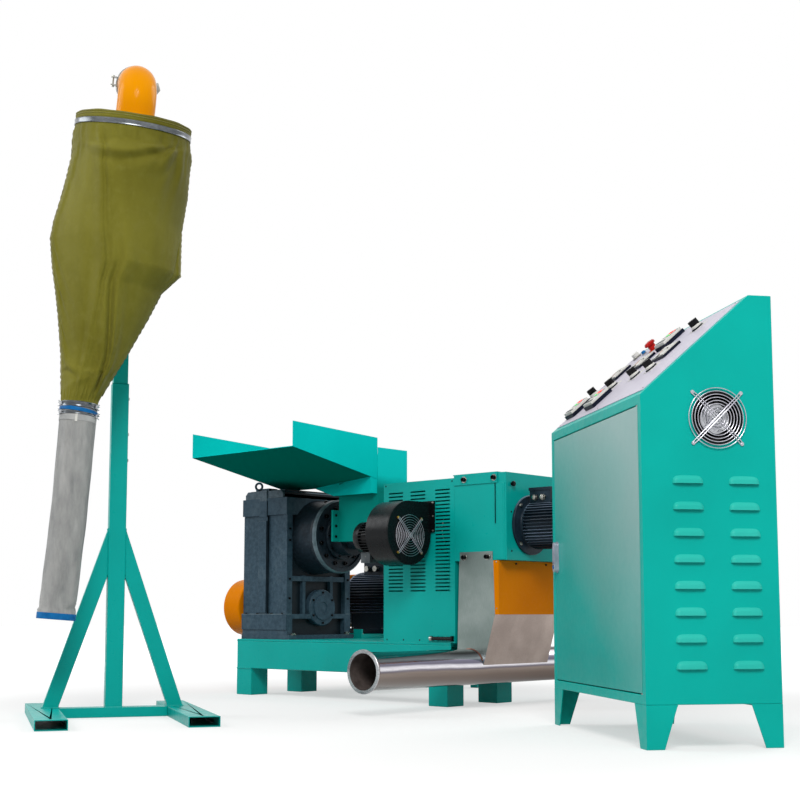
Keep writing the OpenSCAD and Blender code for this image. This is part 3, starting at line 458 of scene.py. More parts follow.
def painted(name, colour, shade, rough, grain, relief, gloss=0.13, under=None, painted_light=None):
    """Sprayed paint: slow changes of tone, an orange-peel surface and uneven gloss.

    under is the colour of a painted shade on the undersides.
    haze is painted light, such as a sheen: its colour, the way it grows, where it starts and ends, and its
    most."""
    f = Finish(name, colour, rough, Specular_IOR_Level=gloss)
    slow = f.spread(f.noise(2.3, 3), 0.35, 0.7, 0, 1)
    specks = f.spread(f.noise(grain * 0.8, 2), 0.55, 0.75, 0, 0.5)
    tone = f.mix(f.maths("MAXIMUM", slow, specks), colour, shade)
    # painted shade: faces turned downwards take the darker under colour
    if under:
        tone = f.blend(f.facing((0, 0, -1)), 0.5, 0.8, tone, under)
    # painted light, such as a sheen: a paler colour that grows along a direction
    if painted_light:
        lit_colour, way, low, high, most = painted_light
        cloudy = f.maths("ADD", f.along(way), f.maths("MULTIPLY", f.noise(3, 3), 0.15))
        tone = f.blend(cloudy, low, high, tone, lit_colour, most)
    f.roughen(f.noise(40, 3), rough - 0.06, rough + 0.08)
    f.bump(f.noise(grain, 2), 0.35, relief)
    return f.painted_with(tone)


def cast(name, colour, shade, dust, rough, grain=260, relief=0.0006, top=None, deep=None):
    """Painted rough casting: pitted, with dull dust in its hollows.

    top is the paler colour of its upper faces, painted light.
    deep is the painted shade of a recessed right side: its colour, and the x it lies behind, in metres."""
    f = Finish(name, colour, rough)
    coarse = f.noise(grain * 0.18, 4, 0.6)
    fine = f.noise(grain, 3, 0.6)
    tone = f.blend(coarse, 0.35, 0.65, colour, shade)
    tone = f.blend(f.noise(9, 5, 0.7), 0.52, 0.75, tone, dust, 0.55)
    # painted light: faces turned upwards take the paler top colour
    if top:
        tone = f.blend(f.facing((0, -0.2, 0.98)), 0.6, 1, tone, top, 0.9)
    # painted shade: the recessed right side takes the dark deep colour
    if deep:
        hollow, at = deep
        inside = f.spread(f.along((1, 0, 0)), at + 0.004, at + 0.016, 1, 0)
        right = f.spread(f.facing((1, 0, 0)), 0.5, 0.8, 0, 0.9)
        tone = f.mix(f.maths("MULTIPLY", inside, right), tone, hollow)
    f.roughen(fine, rough - 0.08, rough + 0.15)
    f.bump(coarse, 0.35, relief * 2.5)
    f.bump(fine, 0.5, relief)
    return f.painted_with(tone)


def scratches(f, stretch, low, high, strength, depth):
    """Fine scratches along one way, in the roughness and the relief; gives their pattern."""
    lines = f.noise(60, 4, 0.7, stretch)
    f.roughen(lines, low, high)
    f.bump(lines, strength, depth)
    return lines


def brushed(name, colour, shade, rough, stretch):
    """Brushed metal with cloudy reflections."""
    f = Finish(name, colour, rough, 1.0)
    lines = scratches(f, stretch, rough - 0.05, rough + 0.1, 0.25, 0.00012)
    return f.painted_with(f.blend(f.maths("ADD", lines, f.noise(7, 3)), 0.8, 1.25, shade, colour))


def sheet_steel():
    """Brushed stainless sheet: cool on its front, and warmer on its right side, which picks up the floor."""
    f = Finish("stainless_sheet", "#8A8E8B", 0.33, 1.0)
    lines = scratches(f, (9, 9, 0.6), 0.28, 0.42, 0.2, 0.0001)
    cloud = f.spread(f.maths("ADD", lines, f.noise(7, 3)), 0.8, 1.25, 0, 1)
    cool, warm = f.mix(cloud, "#74807D", "#8B9592"), f.mix(cloud, "#8F827B", "#AA9C94")
    return f.painted_with(f.blend(f.facing((1, 0, 0)), 0.3, 0.7, cool, warm))


def polished_pipe(middle, r):
    """Polished pipe: long bands of painted reflection round it, light and dark by height about its axis."""
    f = Finish("stainless_pipe", "#A8A0A0", 0.1, 1.0)
    drift = f.maths("MULTIPLY", f.noise(2.2, 3, 0.5, (1, 1, 0.1)), 0.016)
    offset = 0.008  # the drift's mean
    height = f.maths("ADD", f.along((0, 0, 1)), drift)
    height = f.spread(height, middle - r + offset, middle + r + offset, 0, 1)
    # painted reflection: dark below the middle, bright highlight bands above it, set by height
    tone = f.ramp(height, ((0, "#3E3430"), (0.1, "#5C4F48"), (0.3, "#75675F"), (0.44, "#96887F"),
                           (0.5, "#625E6C"), (0.55, "#EFEDF2"), (0.6, "#E4E2EA"), (0.65, "#6A687A"),
                           (0.73, "#78768A"), (0.78, "#CFCCD6"), (0.86, "#A8A2AC"), (0.91, "#4C4246"),
                           (1.0, "#6A6264")))
    lines = scratches(f, (6, 0.3, 6), 0.07, 0.16, 0.12, 0.0001)
    return f.painted_with(f.blend(lines, 0.35, 0.7, tone, "#6E6664", 0.3))


def plain(name, colour, shade, rough, metal=0.0, grain=300, relief=0.00008, **sockets):
    """Moulded or plated stock with a faint tone change and grain."""
    f = Finish(name, colour, rough, metal, **sockets)
    f.roughen(f.noise(90, 2), max(0.03, rough - 0.05), rough + 0.06)
    f.bump(f.noise(grain, 2), 0.3, relief)
    return f.painted_with(f.blend(f.noise(25, 3), 0.35, 0.65, colour, shade))


def canvas():
    """Waxed cotton canvas: a plain weave, faded folds, faint stains and a shaded right side."""
    f = Finish("canvas", "#77741F", 0.72, Sheen_Weight=0.06, Sheen_Roughness=0.4)
    cross = f.weave(((0.35, 0.35, 700), (700, 420, 0.2)), 0.6)
    tone = f.blend(f.noise(5, 5, 0.65, (1, 1, 0.45)), 0.4, 0.68, "#827E2C", "#716D1F")
    tone = f.blend(f.noise(26, 4, 0.7), 0.5, 0.8, tone, "#8D8A40", 0.5)
    right = STAND.to_3x3() @ Vector((1, 0, 0))
    middle = (STAND.translation * MM).dot(right)
    high = f.spread(f.along((0, 0, 1)), 1.9, 2.1, 0.25, 1)
    side = f.spread(f.along(right), middle - 0.10, middle + 0.16, 0, 0.6)
    tone = f.mix(f.maths("MULTIPLY", side, high), tone, "#565310")
    f.bump(f.noise(14, 4, 0.6), 0.35, 0.002)
    f.bump(cross, 0.5, 0.0004)
    return f.painted_with(f.mix(f.spread(cross, 0.2, 1, 0.35, 0), tone, "#4B4914"))


def netting():
    """Fine nylon mesh that lets some light through."""
    f = Finish("sleeve_mesh", "#B4B4B2", 0.6, Alpha=0.9)
    threads = f.weave(((0, 0, 900), (900, 500, 0)), 0)
    f.drive("Alpha", f.spread(threads, 0.25, 0.7, 0.72, 1.0))
    f.bump(threads, 0.4, 0.0004)
    f.bump(f.noise(22, 3, 0.6, (1, 1, 0.4)), 0.4, 0.002)
    return f.painted_with(f.blend(f.noise(9, 5, 0.7, (1, 1, 0.3)), 0.35, 0.7, "#8E9090", "#C4C4C2"))


def glow(name, colour, unlit, strength):
    """A lit display segment, with specks of its unlit colour."""
    f = Finish(name, colour, 0.4, Emission_Color=linear(colour), Emission_Strength=strength)
    return f.painted_with(f.mix(f.noise(600, 1), colour, unlit))


TEAL = painted("teal_paint", "#00B2AA", "#00A59D", 0.33, 900, 0.00012)
TEAL_HAMMER = painted("teal_hammer", "#00BEB2", "#00B2A7", 0.36, 330, 0.0005)
# the door's teal, with a painted sheen that grows over its upper part
TEAL_DOOR_PAINTED_SHEEN = painted("teal_door_painted_sheen", "#00B2A8", "#00A69C", 0.34, 330, 0.0004, gloss=0.2,
                    painted_light=("#B4CCCB", (0.5, -0.4, 1), 2.1, 2.95, 0.8))
# a paler copy of the teal for the tray, painted light, with painted shade on its underside
TEAL_TRAY_PAINTED_LIGHT_AND_SHADE = painted("teal_tray_painted_light_and_shade", "#0CDAD6", "#08D0CC", 0.45, 900, 0.00012, gloss=0, under="#007A6C")
# a darker copy of the teal, painted shade under the tray, blending into the tray's painted light higher up
TEAL_NECK_PAINTED_SHADE_AND_LIGHT = painted("teal_neck_painted_shade_and_light", "#059187", "#04857C", 0.45, 900, 0.00012, gloss=0.02,
                    painted_light=("#0CDAD6", (0.5, 0, 1), 1.53, 1.6, 1))
# a paler copy of the teal for the louvres, painted light on their upward-tilted faces
TEAL_LOUVRE_PAINTED_LIGHT = painted("teal_louvre_painted_light", "#34CABB", "#22BFB0", 0.36, 330, 0.0003)
ORANGE = painted("orange_paint", "#EC8800", "#DC7A00", 0.24, 500, 0.00008, gloss=0.03)
ORANGE_ELBOW = painted("orange_elbow", "#F29C00", "#E89200", 0.14, 500, 0.00008, gloss=0.05)
# the gearbox casting, with painted shade on its recessed right side
GEARBOX = cast("gearbox_paint", "#3B5261", "#2C4250", "#586C78", 0.4,
               deep=("#11191E", (LINE @ Vector((GEARBOX_SIDE, 0, 0))).x * MM))
# a paler grey for the gearbox's top cap
GEARBOX_TOP = cast("gearbox_cap_grey", "#5C6C76", "#46555F", "#7E8C94", 0.45)
FLANGE_RIM = plain("flange_rim", "#6E8089", "#54656E", 0.4)
DARK_CAST = cast("dark_cast", "#25323C", "#1A242C", "#3C4A55", 0.36, 320, 0.0004)
# the motor paint, with painted light on its upper faces
MOTOR = cast("motor_paint", "#22323F", "#182530", "#3C4E5E", 0.3, 400, 0.0003, top="#8A9AB2")
BLACK = painted("black_paint", "#101316", "#0A0B0D", 0.28, 600, 0.00015)
BLACK_PLASTIC = plain("black_plastic", "#18191B", "#101112", 0.38)
# painted shade: dark stand-ins for slots, gaps and openings
PAINTED_GAP_SHADE = plain("painted_gap_shade", "#050606", "#020202", 0.8)
CHROME = plain("chrome", "#C2C5C8", "#A6A9AD", 0.1, 1.0)
ZINC = plain("zinc_steel", "#A3A39D", "#7C7D79", 0.28, 1.0)
BOLT_BLACK = plain("black_bolt", "#1C1D20", "#0E0E10", 0.3, 0.8)
BRASS = plain("brass", "#C8A24A", "#9C7A30", 0.3, 1.0)
STEEL = brushed("machined_steel", "#A5A6A4", "#74777A", 0.25, (1, 1, 8))
STAINLESS = sheet_steel()
PIPE = polished_pipe(PIPE_Z * MM, PIPE_R * MM)
PIPE_BORE = plain("pipe_inside", "#5E5552", "#463E3C", 0.6)
FERRULE = brushed("polished_ferrule", "#C9C7CA", "#8A878C", 0.28, (1, 1, 6))
WELD = plain("weld_bead", "#94634A", "#4C3F46", 0.35, 1.0, 800, 0.0003)
GUARD = plain("guard_wire", "#C6C6CE", "#A8A8B2", 0.3, 1.0)
GREY_BOX = plain("grey_box", "#5E6468", "#50565A", 0.5)
LILAC = painted("panel_grey", "#D6D2E0", "#CBC7D7", 0.42, 900, 0.00006)
NAVY = plain("instrument_navy", "#141A2E", "#0C1122", 0.35)
WHITE = plain("instrument_white", "#E4E4DF", "#D8D8D2", 0.38)
BLUE = plain("blue_plastic", "#1470B4", "#0E5C98", 0.42)
RED = plain("red_plastic", "#C8201C", "#A81814", 0.3)
GLASS = plain("display_window", "#1A0A0C", "#120608", 0.12, Coat_Weight=0.6)
RED_LIGHT = glow("red_digits", "#FF2A18", "#401008", 1.6)
GREEN_LIGHT = glow("green_digits", "#38E05A", "#104018", 1.2)
CANVAS = canvas()
RIM = plain("rim_lining", "#8C4A34", "#6E3624", 0.8, relief=0.0006)
PIPING = plain("seam_piping", "#6C6A22", "#5A581C", 0.8, grain=900, relief=0.0004)
THREAD = plain("thread", "#B0AC84", "#98946C", 0.7)
NET = netting()
BAND = brushed("polished_band", "#7E8286", "#4A4E52", 0.2, (1, 1, 14))
HANDLE = plain("handle_metal", "#B9BAC6", "#9C9DAC", 0.4, 0.6)
BLUE_WEB = plain("blue_webbing", "#1173B6", "#0C5B98", 0.6, grain=700, relief=0.0004)
WHITE_WEB = plain("white_webbing", "#BDBEBD", "#A9ABAB", 0.6, grain=700, relief=0.0004)
HOLE_EDGE = plain("plate_pink", "#A58078", "#94706A", 0.6)


# ---- granulator: base, gearbox and screw

BASE_TOP = 289
RAIL_TOP = 311
SCREW_Y, SCREW_Z = 255, 820
SCREW_AXIS = along_x(0, SCREW_Y, SCREW_Z)


def base_and_drive_frame():
    dress("base_front_beam base_rear_beam", TEAL, 4)
    dress("base_deck motor_platform", TEAL, 1.5)
    dress("base_legs", TEAL, 2.5)
    dress("platform_legs", TEAL, 3)
    dress("motor_rails", TEAL, 2)
    s = Shape()
    for x in (0, 1347):
        s.weld((x, -0.5, 137), (x + 115, -0.5, 137))
        s.weld((x + 115.5, 0, 137), (x + 115.5, 115, 137))
    s.weld((-0.5, 2, 278), (-0.5, 473, 278))
    s.make("base_welds", "plant", [TEAL], slot="machine_green")
    fasteners("rail_bolts", ZINC, "zinc_steel", (shift, (130, 395), (540, 1230), RAIL_TOP, 9))


def gearbox():
    # the housing's recessed right side takes painted shade from this material
    dress("gearbox_housing", GEARBOX, 3)
    dress("gearbox_cap", GEARBOX, 2.5)
    x0, x1, y0, y1, split = 10, 355, 20, 490, 419
    s = Shape()
    s.box((x0 - 0.4, y0 - 0.4, split - 2), (x1 - 31, y1 + 0.4, split + 1))
    for y in (y0, y1 - 38):
        s.box((x1 - 32, y, split - 2), (x1 + 0.4, y + 38, split + 1))
    s.box((x0 + 14, y0 + 14, 1022), (x1 - 45, y1 - 14, 1025.5))
    s.make("gearbox_joints", "plant", [FLANGE_RIM], bevel=0.4, slot="gearbox_paint")
    r = Shape()
    r.box((143, y0 - 7, split + 6), (206, y0 + 2, 905))
    r.box((143, y0 - 5, 925), (206, y0 + 2, 1010))
    r.box((146, y0 - 3, 1008), (203, y0 + 60, 1066), 1)
    cap = [(25, 1012), (322, 1012), (322, 1046), (304, 1064), (43, 1064), (25, 1046)]
    r.prism(cap, 0, y1 - y0 - 8, 1, facing_front(0, y1 - 4, 0))
    r.make("gearbox_ribs", "plant", [GEARBOX, GEARBOX_TOP], bevel=3, segments=3, slot="gearbox_paint")
    fasteners("gearbox_bolts", BOLT_BLACK, "dark_steel",
              (shift, (40, 128, 237, 322), (y0 + 6, y1 - 6), split + 1, 7),
              (shift, (52, 285), (60, 180, 330, 450), 1054, 8),
              (along_x, x1, (y0 + 23, y1 - 23), (500, 600, 800, 860), 7, "socket"))
    fasteners("foot_bolts", ZINC, "zinc_steel", (shift, 367, (60, 450), RAIL_TOP, 15))


def bearing_cover():
    x0, y, z = GEARBOX_SIDE, 278, 452
    s = Shape()
    profile = [(0, 0), (95, 0), (95, 30), (91, 34), (66, 34), (64, 40), (30, 40), (28, 36), (0, 36)]
    s.lathe(profile, 0, along_x(x0, y, z), 72)
    s.bolt_circle(x0 + 34, y, z, 79, 6, 7, 1, 0.5)
    s.make("bearing_cover_cast", "plant", [GEARBOX, BOLT_BLACK], slot="gearbox_paint",
           replaces=["bearing_cover"])


def thrust_housing():
    x0, end = GEARBOX_SIDE, 520
    s = Shape()
    at = SCREW_AXIS
    s.lathe([(0, x0), (195, x0), (181, end - 46), (184, end - 40), (191, end - 38), (191, end - 22)],
            0, at, 96)
    s.lathe([(191, end - 22), (191, end - 7), (183, end)], 1, at, 96)
    s.lathe([(183, end), (165, end), (163, end - 12), (0, end - 12)], 2, at, 96)
    s.bolt_circle(end - 12, SCREW_Y, SCREW_Z, 143, 12, 13, 3, 0.5)
    for x, turn in ((388, -6), (432, -9), (455, 16)):
        out = shift(x, SCREW_Y, SCREW_Z) @ spin(turn, "X") @ shift(0, 0, 184)
        s.bolt(out, 11, 3, "hex" if turn < 0 else "socket")
    s.make("thrust_housing_cast", "plant", [DARK_CAST, FLANGE_RIM, DARK_CAST, BOLT_BLACK],
           slot="gearbox_paint", replaces=["thrust_housing"])


def barrel_and_screw():
    dress("barrel", DARK_CAST, 2)
    x0, x1, outer, core, pitch, land = 461, 1566, 44.5, 27, 62, 9
    s = Shape()
    s.rod(core, x0, x1, 0, SCREW_AXIS, 40, 2)
    run = x1 - x0 - land
    steps = int(run / pitch * 28)
    section = ((core - 1, 0), (outer, 1), (outer, land - 1), (core - 1, land))
    points = []
    for k in range(steps + 1):
        a, x = TAU * run / pitch * k / steps, x0 + run * k / steps
        points += [(x + dx, SCREW_Y + r * math.cos(a), SCREW_Z + r * math.sin(a)) for r, dx in section]
    ends = [(0, 1, 2, 3), tuple(4 * steps + i for i in range(4))]
    s.add(points, grid(steps + 1, 4) + ends)
    s.make("screw_flight", "plant", [STEEL], slot="screw_steel", replaces=["feed_screw"])
    c = Shape()
    profile = [(99, 0), (118, 2), (120, 4), (120, 16), (118, 18), (99, 18)]
    c.lathe(profile, 0, along_x(522, SCREW_Y, SCREW_Z), 72)
    c.bolt_circle(540, SCREW_Y, SCREW_Z, 110, 10, 6, 1)
    c.make("barrel_collar", "plant", [DARK_CAST, BOLT_BLACK], slot="dark_steel")


def hopper():
    # the throat and the hopper body take painted shade under the tray
    dress("feed_throat", TEAL_NECK_PAINTED_SHADE_AND_LIGHT, 2)
    dress("hopper_body", TEAL_NECK_PAINTED_SHADE_AND_LIGHT, 1.5)
    dress("hopper_tray", TEAL_TRAY_PAINTED_LIGHT_AND_SHADE, 1.2)
    fasteners("throat_bolts", BOLT_BLACK, "dark_steel", (along_x, 610, (125, 385), (812, 866, 920), 7))


# ---- granulator: covers and cutting head

COVER_X, COVER_END, COVER_TOP = 1060, 1507, 1043
COVER_Y, COVER_BACK = 3, 472
DIE_END = 1807


def barrel_cover():
    t, slot_h, pitch, rows, low = 3, 7, 17.2, 28, 525
    columns = (1093, 1185, 1233, 1327, 1388, 1478)
    xs = [COVER_X, *columns, COVER_END]
    slots = [low + k * pitch + edge for k in range(rows) for edge in (0, slot_h)]
    zs = [BASE_TOP, *slots, COVER_TOP]
    s = Shape()
    for y in (COVER_Y + t, COVER_BACK):
        s.holed_plate(xs, zs, lambda i, j: i % 2 and j % 2, 0, t, 0, facing_front(0, y, 0))
    for x in (COVER_X, COVER_END - t):
        s.box((x, COVER_Y + t, BASE_TOP), (x + t, COVER_BACK - t, COVER_TOP))
    s.box((COVER_X + t, COVER_Y + t, COVER_TOP - t), (COVER_END - t, COVER_BACK - t, COVER_TOP))
    s.make("barrel_cover_sheet", "plant", [TEAL], slot="machine_green", replaces=["barrel_cover"], fuse=False)
    fasteners("cover_screws", BOLT_BLACK, "dark_steel",
              (facing_front, (1082, 1188, 1290), COVER_Y, 300, 5, "screw"),
              (facing_front, (1074, 1492), COVER_Y, 1030, 5, "screw"),
              (shift, (1074, 1492), (40, 430), COVER_TOP, 5, "screw"))
    inner = Shape()
    inner.rod(96, 1075, 1490, 0, SCREW_AXIS, 40)
    for x in range(1090, 1480, 70):
        inner.ring(99, 4, 1, along_x(x, SCREW_Y, SCREW_Z), 40, 8)
    inner.make("barrel_heaters", "plant", [DARK_CAST, ZINC], slot="dark_steel")
    latch = Shape()
    left, right, z = 1359, 1499, 309
    latch.rod(8.5, left + 14, right - 4, 0, along_x(0, -4, z), 24)
    latch.box((right - 8, -12, z - 12), (right, COVER_Y, z + 12), 0)
    latch.rod(11.5, left, left + 15, 1, along_x(0, -4, z), 28, 3)
    latch.box((left + 30, -6, z - 11), (left + 48, COVER_Y, z + 11), 2)
    latch.make("cover_latch_bar", "plant", [BLACK, ZINC, TEAL], bevel=1, slot="black_plastic",
               replaces=["cover_latch"])


def cutting_head():
    dress("die_cover", TEAL, 1.5)
    dress("die_lid", TEAL, 1.2)
    s = Shape()
    s.box((1753, COVER_Y - 2, 662), (1799, COVER_Y + 0.5, 1005))
    s.box((1762, COVER_Y - 3, 670), (1790, COVER_Y, 1003))
    s.make("die_cover_strip", "plant", [TEAL], bevel=0.8, slot="machine_green")
    heads = Shape()
    heads.box((1744, COVER_Y - 3.2, 824), (1747, COVER_Y, 1008))
    for x in (1568, 1742):
        heads.washered(x, -2, 1030, 1, 0)
    heads.bolts(shift, (1530, 1640, 1740), (30, 440), 1056, 5, kind="screw")
    for y, z in ((40, 700), (435, 700), (38, 875), (435, 1015)):
        heads.bolt(along_x(DIE_END, y, z), 6, kind="screw")
    plug = [(0, 0), (7, 0), (7, 6), (12, 9), (12, 16), (8, 19), (0, 19)]
    heads.lathe(plug, 0, along_x(DIE_END, 42, 1000), 24)
    heads.make("die_cover_screws", "plant", [BOLT_BLACK, ZINC], slot="dark_steel")


def fins(s, at, core, outer, z0, z1, count, thick):
    """Cooling fins along a round body's axis, which is at's z."""
    s.rod(core, z0, z1, 0, at, 72, 1)
    for i in range(count):
        s.box((core - 2, -thick / 2, z0 + 2), (outer, thick / 2, z1 - 2), 0, at @ spin(360 * i / count, "Z"))


def cowl_slots(s, at, z, r0, r1, count):
    """Painted shade for slots in the end of a fan cowl: dark strips, in the shape's third material."""
    for i in range(count):
        s.box((r0, -2.2, z), (r1, 2.2, z + 0.6), 2, at @ spin(360 * i / count, "Z"))


def cutter_motor():
    y = 175
    at = along_x(DIE_END, y, SCREW_Z)
    s = Shape()
    s.lathe([(0, 0), (132, 0), (135, 3), (135, 11), (132, 14), (100, 14), (92, 18), (90, 22), (106, 34),
             (106, 40), (0, 40)], 0, at, 96)
    fins(s, at, 95, 110, 36, 262, 44, 3.4)
    s.lathe([(0, 258), (109, 258), (110, 262), (110, 328), (106, 336), (94, 350), (30, 350), (0, 350)],
            0, at, 96)
    cowl_slots(s, at, 349.8, 28, 80, 28)
    for i in range(4):
        s.bolt(at @ spin(45 + 90 * i, "Z") @ shift(120, 0, 14), 8, 1)
    s.box((1850, y - 56, 903), (1964, y + 56, 972))
    s.box((1847, y - 60, 970), (1967, y + 60, 984))
    s.bolts(shift, (1855, 1959), (y - 52, y + 52), 983, 4, 1, "screw")
    for x in (1884, 1928):
        s.lathe([(0, 0), (13, 0), (13, 8), (10, 8), (10, 14), (12, 14), (12, 20), (6, 24), (0, 24)], 1,
                facing_front(x, y - 56, 938), 24)
    s.make("cutter_motor_cast", "plant", [MOTOR, ZINC, PAINTED_GAP_SHADE], bevel=0.8, segments=1,
           slot="motor_paint", replaces=["cutter_motor"])


# ---- granulator: blower, drive, chute and pipe

BLOWER_X, BLOWER_END, BLOWER_Y, BLOWER_Z = 1231, 1370, -155, 790
BLOWER_MOTOR_L, FAN_AXIS_Z = 170, 777
BLOWER_AXIS = along_x(0, BLOWER_Y, FAN_AXIS_Z)


def yz_prism(s, outline, x0, x1, mat=0):
    """A prism of a YZ outline between two X planes."""
    turn = Matrix(((0, 0, 1, 0), (1, 0, 0, 0), (0, 1, 0, 0), (0, 0, 0, 1)))
    s.prism(outline, x0, x1, mat, turn)


def edge_distance(outline, y, z, angle):
    """How far an outline is from the point (y, z) inside it, along an angle."""
    way = (math.cos(angle), math.sin(angle))
    far = 0
    for p, q in zip(outline, outline[1:] + outline[:1]):
        side = (q[0] - p[0], q[1] - p[1])
        start = (p[0] - y, p[1] - z)
        det = side[0] * way[1] - side[1] * way[0]
        if abs(det) < 1e-9:
            continue
        distance = (side[0] * start[1] - side[1] * start[0]) / det
        share = (way[0] * start[1] - way[1] * start[0]) / det
        if distance > 0 and -1e-6 <= share <= 1 + 1e-6:
            far = max(far, distance)
    return far


def blower_scroll():
    r, flange_y, top, mouth = 147, -5, 937, 84
    s = Shape()
    rim = [(flange_y, top - 135), (flange_y, top)] + arc(BLOWER_Y, BLOWER_Z, r, 90, 355, 90)
    yz_prism(s, rim, BLOWER_X, BLOWER_END - 6)
    # painted shade: a dark strip in the seam before the side plate
    yz_prism(s, rim, BLOWER_END - 6, BLOWER_END - 4, 2)
    # the side plate is a band between the outline and the round inlet
    angles = turns(96)
    outer = [(edge_distance(rim, BLOWER_Y, FAN_AXIS_Z, a), a) for a in angles]
    inner = [(mouth, a) for a in angles]
    loops = ((BLOWER_END - 4, outer), (BLOWER_END, outer), (BLOWER_END, inner), (BLOWER_END - 4, inner))
    s.add([(x, BLOWER_Y + far * math.cos(a), FAN_AXIS_Z + far * math.sin(a)) for x, loop in loops
           for far, a in loop], grid(4, len(angles)))
    s.box((BLOWER_X - 9, flange_y, top - 140), (BLOWER_END + 18, flange_y + 7.5, top + 7))
    s.bolts(facing_front, (BLOWER_X - 2, BLOWER_END + 10), flange_y, (top - 132, top - 64, top - 2), 5, 1)
    lip = [(mouth, -1), (89, -1), (92, 3), (88, 3), (mouth, -20)]
    s.lathe([(rad, BLOWER_END + out) for rad, out in lip], 0, BLOWER_AXIS, 72)
    # impeller behind the guard
    for i in range(30):
        s.box((58, -1, BLOWER_END - 60), (80, 1, BLOWER_END - 12), 3, BLOWER_AXIS @ spin(12 * i, "Z"))
    hub = [(0, -14), (22, -14), (26, -20), (26, -60)]
    s.lathe([(rad, BLOWER_END + out) for rad, out in hub], 3, BLOWER_AXIS, 40)
    s.make("blower_scroll", "plant", [BLACK, ZINC, PAINTED_GAP_SHADE, MOTOR], bevel=2.2, slot="black_paint",
           replaces=["blower_housing"])


def blower_guard():
    g = Shape()
    face = BLOWER_AXIS @ shift(0, 0, BLOWER_END + 5)
    for k in range(8):
        g.ring(16 + k * 11.2, 1.3, 0, face, 64, 8)
    for turn in (45, 135):
        arm = face @ spin(turn, "Z")
        for d in (-4, 4):
            g.tube([(-112, d, 2.5), (-96, d, 3), (0, d, 3), (96, d, 3), (112, d, 2.5)], 1.7, 0, arm, 8)
        for x in (-112, 112):
            g.bolt(arm @ shift(x, 0, 0), 5.5, 1, "screw")
            g.rod(6.5, -6, 0.5, 1, arm @ shift(x, 0, 0), 20)
    g.make("blower_wire_guard", "plant", [GUARD, BRASS], slot="chrome", replaces=["blower_guard"])


def blower_motor():
    end = BLOWER_MOTOR_L
    m = Shape()
    axis = BLOWER_AXIS @ shift(0, 0, BLOWER_X - end)
    m.lathe([(0, 0), (40, 0), (55, 3), (68, 12), (73, 20), (73, 48), (71, 50), (62, 51)], 0, axis, 72)
    fins(m, axis, 62, 73, 46, end - 16, 30, 3.2)
    m.lathe([(62, end - 18), (73, end - 16), (73, end), (0, end)], 0, axis, 72)
    cowl_slots(m, axis, -0.5, 12, 36, 14)
    for i in range(4):
        m.bolt(axis @ spin(45 + 90 * i, "Z") @ shift(52, 0, 2) @ spin(180, "X"), 4, 1)
    m.make("blower_motor_cast", "plant", [BLACK, ZINC, PAINTED_GAP_SHADE], bevel=0.8, segments=1, slot="black_paint",
           replaces=["blower_motor"])

    c = Shape()
    x0, x1, low = BLOWER_X - end + 22, BLOWER_X - end + 80, FAN_AXIS_Z - 73 - 46
    c.box((x0, BLOWER_Y - 22, low), (x1, BLOWER_Y + 22, low + 50))
    c.box((x0 - 1.5, BLOWER_Y - 23.5, low + 6), (x1 + 1.5, BLOWER_Y + 23.5, low + 9))
    c.rod(7, 0, 14, 1, along_x(x1, BLOWER_Y, low + 24), 20)
    c.bolt(facing_front((x0 + x1) / 2, BLOWER_Y - 22, low + 30), 3.5, 2, "screw")
    c.make("capacitor_case", "plant", [GREY_BOX, BLACK_PLASTIC, ZINC], bevel=2, slot="grey_box",
           replaces=["capacitor_box"])


def main_motor():
    y, z = 900, 491
    at = along_x(20, y, z)
    s = Shape()
    s.rod(30, -20, 4, 1, at, 40)
    s.lathe([(0, 0), (132, 0), (140, 4), (158, 28), (163, 34), (163, 46), (150, 48)], 0, at, 96)
    fins(s, at, 144, 165, 40, 392, 60, 4.2)
    s.lathe([(150, 388), (167, 390), (169, 394), (169, 470), (165, 478), (149, 500), (40, 500), (0, 500)],
            0, at, 96)
    cowl_slots(s, at, 499.6, 36, 132, 40)
    for i in range(8):
        s.bolt(at @ spin(22.5 + 45 * i, "Z") @ shift(150, 0, 10) @ spin(160, "X"), 6, 1)
    for side in (-1, 1):
        s.box((100, y + side * 120 - 40, RAIL_TOP), (360, y + side * 120 + 40, 339))
        s.box((104, y + side * 135 - 12, 330), (356, y + side * 135 + 12, 425))
    s.bolts(shift, (118, 342), (y - 140, y + 140), 339, 9, 1)
    s.box((130, y - 72, 630), (280, y + 72, 712))
    s.box((126, y - 77, 710), (284, y + 77, 731))
    s.bolts(shift, (134, 276), (y - 70, y + 70), 731, 4.5, 1, "screw")
    for x in (170, 235):
        s.rod(16, 0, 26, 1, facing_front(x, y - 72, 672), 24)
    s.make("main_motor_cast", "plant", [MOTOR, ZINC, PAINTED_GAP_SHADE], bevel=1, segments=1, slot="motor_paint",
           replaces=["main_motor"])


def belt_guard():
    (ay, az), (by, bz) = (157, 454.5), (900, 495)
    r, deep = 150, 127.5
    tilt = math.degrees(math.atan2(bz - az, by - ay))
    outline = arc(by, bz, r, tilt - 90, tilt + 90, 40) + arc(ay, az, r, tilt + 90, tilt + 270, 40)
    s = Shape()
    yz_prism(s, outline, -deep, -1)
    s.make("belt_guard_shell", "plant", [ORANGE], bevel=9, segments=4, slot="orange_paint",
           replaces=["belt_guard"])
    b = Shape()
    along = shift(-deep, ay, az) @ spin(tilt, "X")
    length = math.hypot(by - ay, bz - az)
    for k in range(9):
        for side in (-1, 1):
            place = along @ Vector((0, length * k / 8, side * (r - 14)))
            b.bolt(along_x(*place) @ spin(180, "X"), 4.5, kind="screw")
    b.make("belt_guard_screws", "plant", [BOLT_BLACK], slot="dark_steel")


